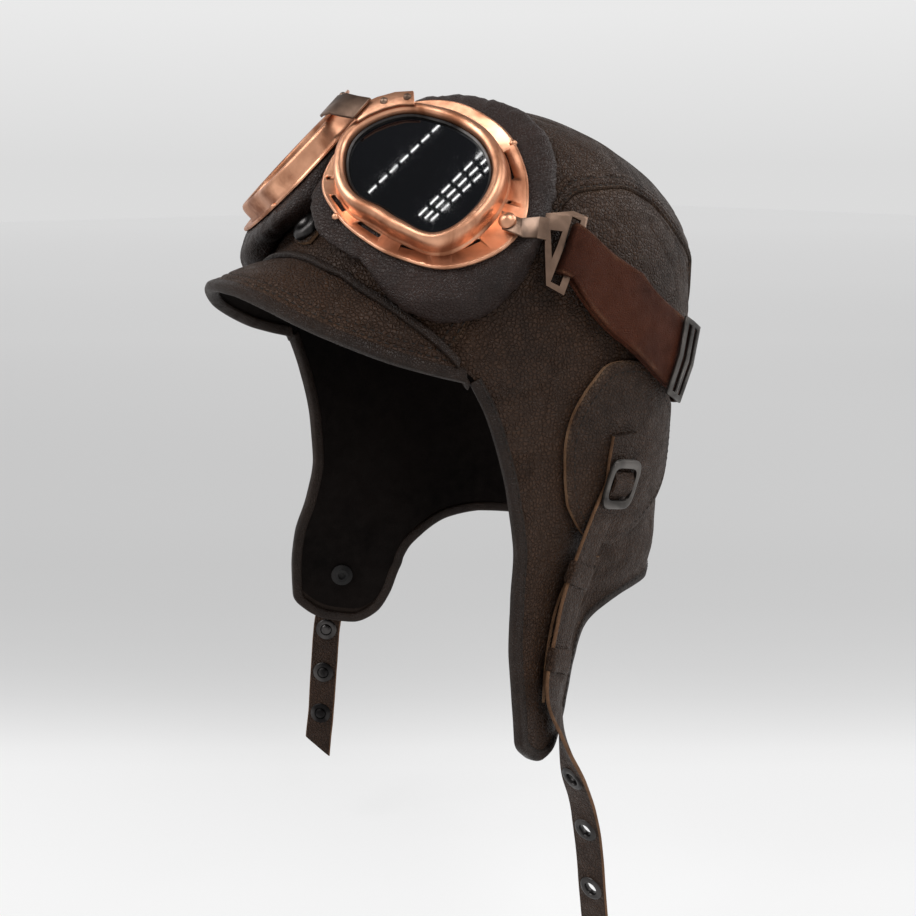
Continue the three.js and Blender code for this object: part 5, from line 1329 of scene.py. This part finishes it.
def strap_point(along, across, lift):
    s = (along + FOLD_START) / STRAP_REACH
    t = (across + 1) / 2
    drop = mix(drop_of(edge_of["low_level"](s)), drop_of(edge_of["top_level"](s)), t)
    return lifted(mix(edge_of["low_angle"](s), edge_of["top_angle"](s), t), level_of(drop), lift)


for side, turn in SIDE_TURN.items():
    back = RETURN[side]
    path = [(a, INNER_LIFT) for a in np.arange(STRAP_REACH - FOLD_START, 8, -10.5)] + FOLD
    path += [(a, OUTER_LIFT) for a in np.arange(16, back, 10.5)] + [(back, OUTER_LIFT)]
    path = smooth_path([(a, h, 0) for a, h in path], 7)[:, :2]
    push = unit(np.gradient(path, axis=0))[:, ::-1] * np.array([1, -1])
    wide = np.linspace(-1, 1, 33)
    edge = STRAP_HALF_WIDTH * (1 - np.abs(wide))
    trim = 0.5 * np.clip(1 - edge / 0.7, 0, 1) ** 2 + 0.22 * np.exp(-((edge - 1.9) / 0.4) ** 2)
    faces_of = []
    for sign in (-1, 1):
        reach, lift = (path[:, k:k + 1] + sign * push[:, k:k + 1] * (GOGGLE_STRAP_THICKNESS / 2 - trim)
                       for k in (0, 1))
        faces_of.append(strap_point(reach, wide + 0 * reach, lift))
    low, top = faces_of
    item = wall(f"goggle_strap_{side}", turn(top), turn(low), [STRAP, STRAP],
                attributes={"wear_and_highlight": np.broadcast_to(np.exp(-((edge - 1.1) / 0.45) ** 2), top.shape[:2])})
    if side == "left":
        stands(item, "strap_leather", "goggle_strap")

stitches("leather_stitches", threads, THREAD)

# Floor, world, camera and lights
FLOOR_LEVEL = -0.3725
FLOOR_SIZE = 14
VIEW_AWAY = (-0.8166, 0.5771, 0)
bpy.ops.mesh.primitive_plane_add(size=FLOOR_SIZE, location=(0, 0, FLOOR_LEVEL))
floor = bpy.context.object
floor.name = "studio_floor"
ground, tree, shader = start("studio_floor")
FAR = 6.0
# Emission of the floor by distance along the view, which is painted light: bright up to the helmet, dimmest
# about half a metre beyond it and brighter again far off.
PAINTED_FLOOR_LIGHT = rows(
    "away glow",
    (0, 0.68), (0.13, 0.64), (0.165, 0.55), (0.205, 0.46), (0.25, 0.4), (0.3, 0.368), (0.37, 0.345),
    (0.47, 0.343), (0.6, 0.366), (0.84, 0.393), (1.2, 0.44), (1.8, 0.5), (3, 0.545), (FAR, 0.59),
)
place = node(tree, "ShaderNodeTexCoord").outputs["Object"]
away = node(tree, "ShaderNodeVectorMath", {0: place, 1: VIEW_AWAY}, operation="DOT_PRODUCT")
glow = node(tree, "ShaderNodeValToRGB", {"Fac": ramp(tree, away.outputs["Value"], 0, FAR)})
stops = glow.color_ramp.elements
for at, value in zip(PAINTED_FLOOR_LIGHT["away"] / FAR, PAINTED_FLOOR_LIGHT["glow"]):
    stop = stops[0] if at == 0 else stops[-1] if at == 1 else stops.new(at)
    stop.color = (value, value, value, 1)
shader.inputs["Base Color"].default_value = (0.25, 0.25, 0.25, 1)
shader.inputs["Roughness"].default_value = 0.95
shader.inputs["Specular IOR Level"].default_value = 0.05
tree.links.new(glow.outputs["Color"], shader.inputs["Emission Color"])
shader.inputs["Emission Strength"].default_value = 1
floor.data.materials.append(ground)

HORIZON = (0.71, 0.71, 0.71)
SKY_SIDE = (0.82, 0.82, 0.82)
SKY_TOP = (0.13, 0.13, 0.135)
world = bpy.data.worlds.new("studio")
bpy.context.scene.world = world
world.use_nodes = True
tree = world.node_tree
way = node(tree, "ShaderNodeTexCoord").outputs["Generated"]
upward = node(tree, "ShaderNodeSeparateXYZ", {0: way}).outputs["Z"]
side_tone = blend(tree, ramp(tree, upward, 0, 0.12), HORIZON, SKY_SIDE)
sky = blend(tree, ramp(tree, upward, 0.25, 0.8), side_tone, SKY_TOP)
tree.links.new(sky, tree.nodes["Background"].inputs["Color"])
bpy.context.scene.view_settings.view_transform = "Standard"

EYE = np.array([396.05, -284.76, -19.05])
SIGHT = np.array([[0.577, 0.817, 0], [-0.2087, 0.1474, 0.967], [0.7895, -0.558, 0.2554]])
FOCAL_LENGTH = 43.86
SENSOR_WIDTH = 36
camera_data = bpy.data.cameras.new("camera")
camera_data.lens = FOCAL_LENGTH
camera_data.sensor_width = SENSOR_WIDTH
camera_data.clip_start = 0.01
camera = bpy.data.objects.new("camera", camera_data)
camera.matrix_world = Matrix.Translation(Vector(EYE) * MM) @ Matrix(SIGHT.T.tolist()).to_4x4()
bpy.context.scene.collection.objects.link(camera)
bpy.context.scene.camera = camera


# Name, place, what it points at, width and power
LIGHTS = (
    ("main_light", (0.8, 0.1, 1.1), (0, 0, -0.1), 0.9, 11),
    ("front_light", (-0.6, -1.1, 0.9), (0, 0, -0.1), 0.7, 7.5),
    ("rear_light", (0.3, 1.2, 0.6), (0, 0, -0.1), 0.8, 6),
    ("goggle_light", (-0.07, -0.69, 0.87), (0.04, -0.05, -0.02), 0.35, 3),
)
for name, place, aim, width, power in LIGHTS:
    data = bpy.data.lights.new(name, "AREA")
    data.shape = "RECTANGLE"
    data.size = width
    data.size_y = width
    data.energy = power
    lamp = bpy.data.objects.new(name, data)
    lamp.location = place
    lamp.rotation_euler = (Vector(aim) - Vector(place)).to_track_quat("-Z", "Y").to_euler()
    lamp.visible_camera = False
    bpy.context.scene.collection.objects.link(lamp)

# Rows of ceiling tubes that the dark lens mirrors, set out by where each reflection shows in the picture
PICTURE = 916
FOCAL = FOCAL_LENGTH / SENSOR_WIDTH * PICTURE
TUBE_ROWS = [((367, 194), (441, 123), 7), ((417, 217), (485, 149), 6), ((423, 220), (490, 155), 6),
             ((429, 222), (493, 163), 6)]
TUBE_HALF = 0.75
TUBE_SHARE = 0.35
TUBE_DISTANCE = 900
lens_middle = cup_point(1, 0, 0, LENS_LEVEL + LENS_THICKNESS)
lens_axis = unit(cup_point(1, 0, 0, 1) - cup_point(1, 0, 0, 0))


def mirrored_spot(x, y):
    """Where the ray through a point of the picture goes after the lens turns it back."""
    ray = unit(np.array([(x - PICTURE / 2) / FOCAL, (PICTURE / 2 - y) / FOCAL, -1]) @ SIGHT)
    hit = EYE + ray * np.dot(lens_middle - EYE, lens_axis) / np.dot(ray, lens_axis)
    return hit + (ray - 2 * lens_axis * np.dot(ray, lens_axis)) * TUBE_DISTANCE


corners = []
for (x0, y0), (x1, y1), count in TUBE_ROWS:
    way = unit(np.array([x1 - x0, y1 - y0], float))
    beside = np.array([-way[1], way[0]]) * TUBE_HALF
    for k in range(count):
        a, b = (np.array([mix(x0, x1, t), mix(y0, y1, t)]) for t in
                ((k + 0.5 - TUBE_SHARE) / count, (k + 0.5 + TUBE_SHARE) / count))
        corners += [mirrored_spot(*q) for q in (a - beside, b - beside, b + beside, a + beside)]
mesh = bpy.data.meshes.new("tube_lights")
quads = [tuple(range(k, k + 4)) for k in range(0, len(corners), 4)]
mesh.from_pydata((np.array(corners) * MM).tolist(), [], quads)
tubes = bpy.data.objects.new("tube_lights", mesh)
lit, tree, shader = start("tube_light")
shader.inputs["Emission Color"].default_value = (1, 1, 1, 1)
shader.inputs["Emission Strength"].default_value = 32
mesh.materials.append(lit)
bpy.context.scene.collection.objects.link(tubes)
tubes.visible_camera = False
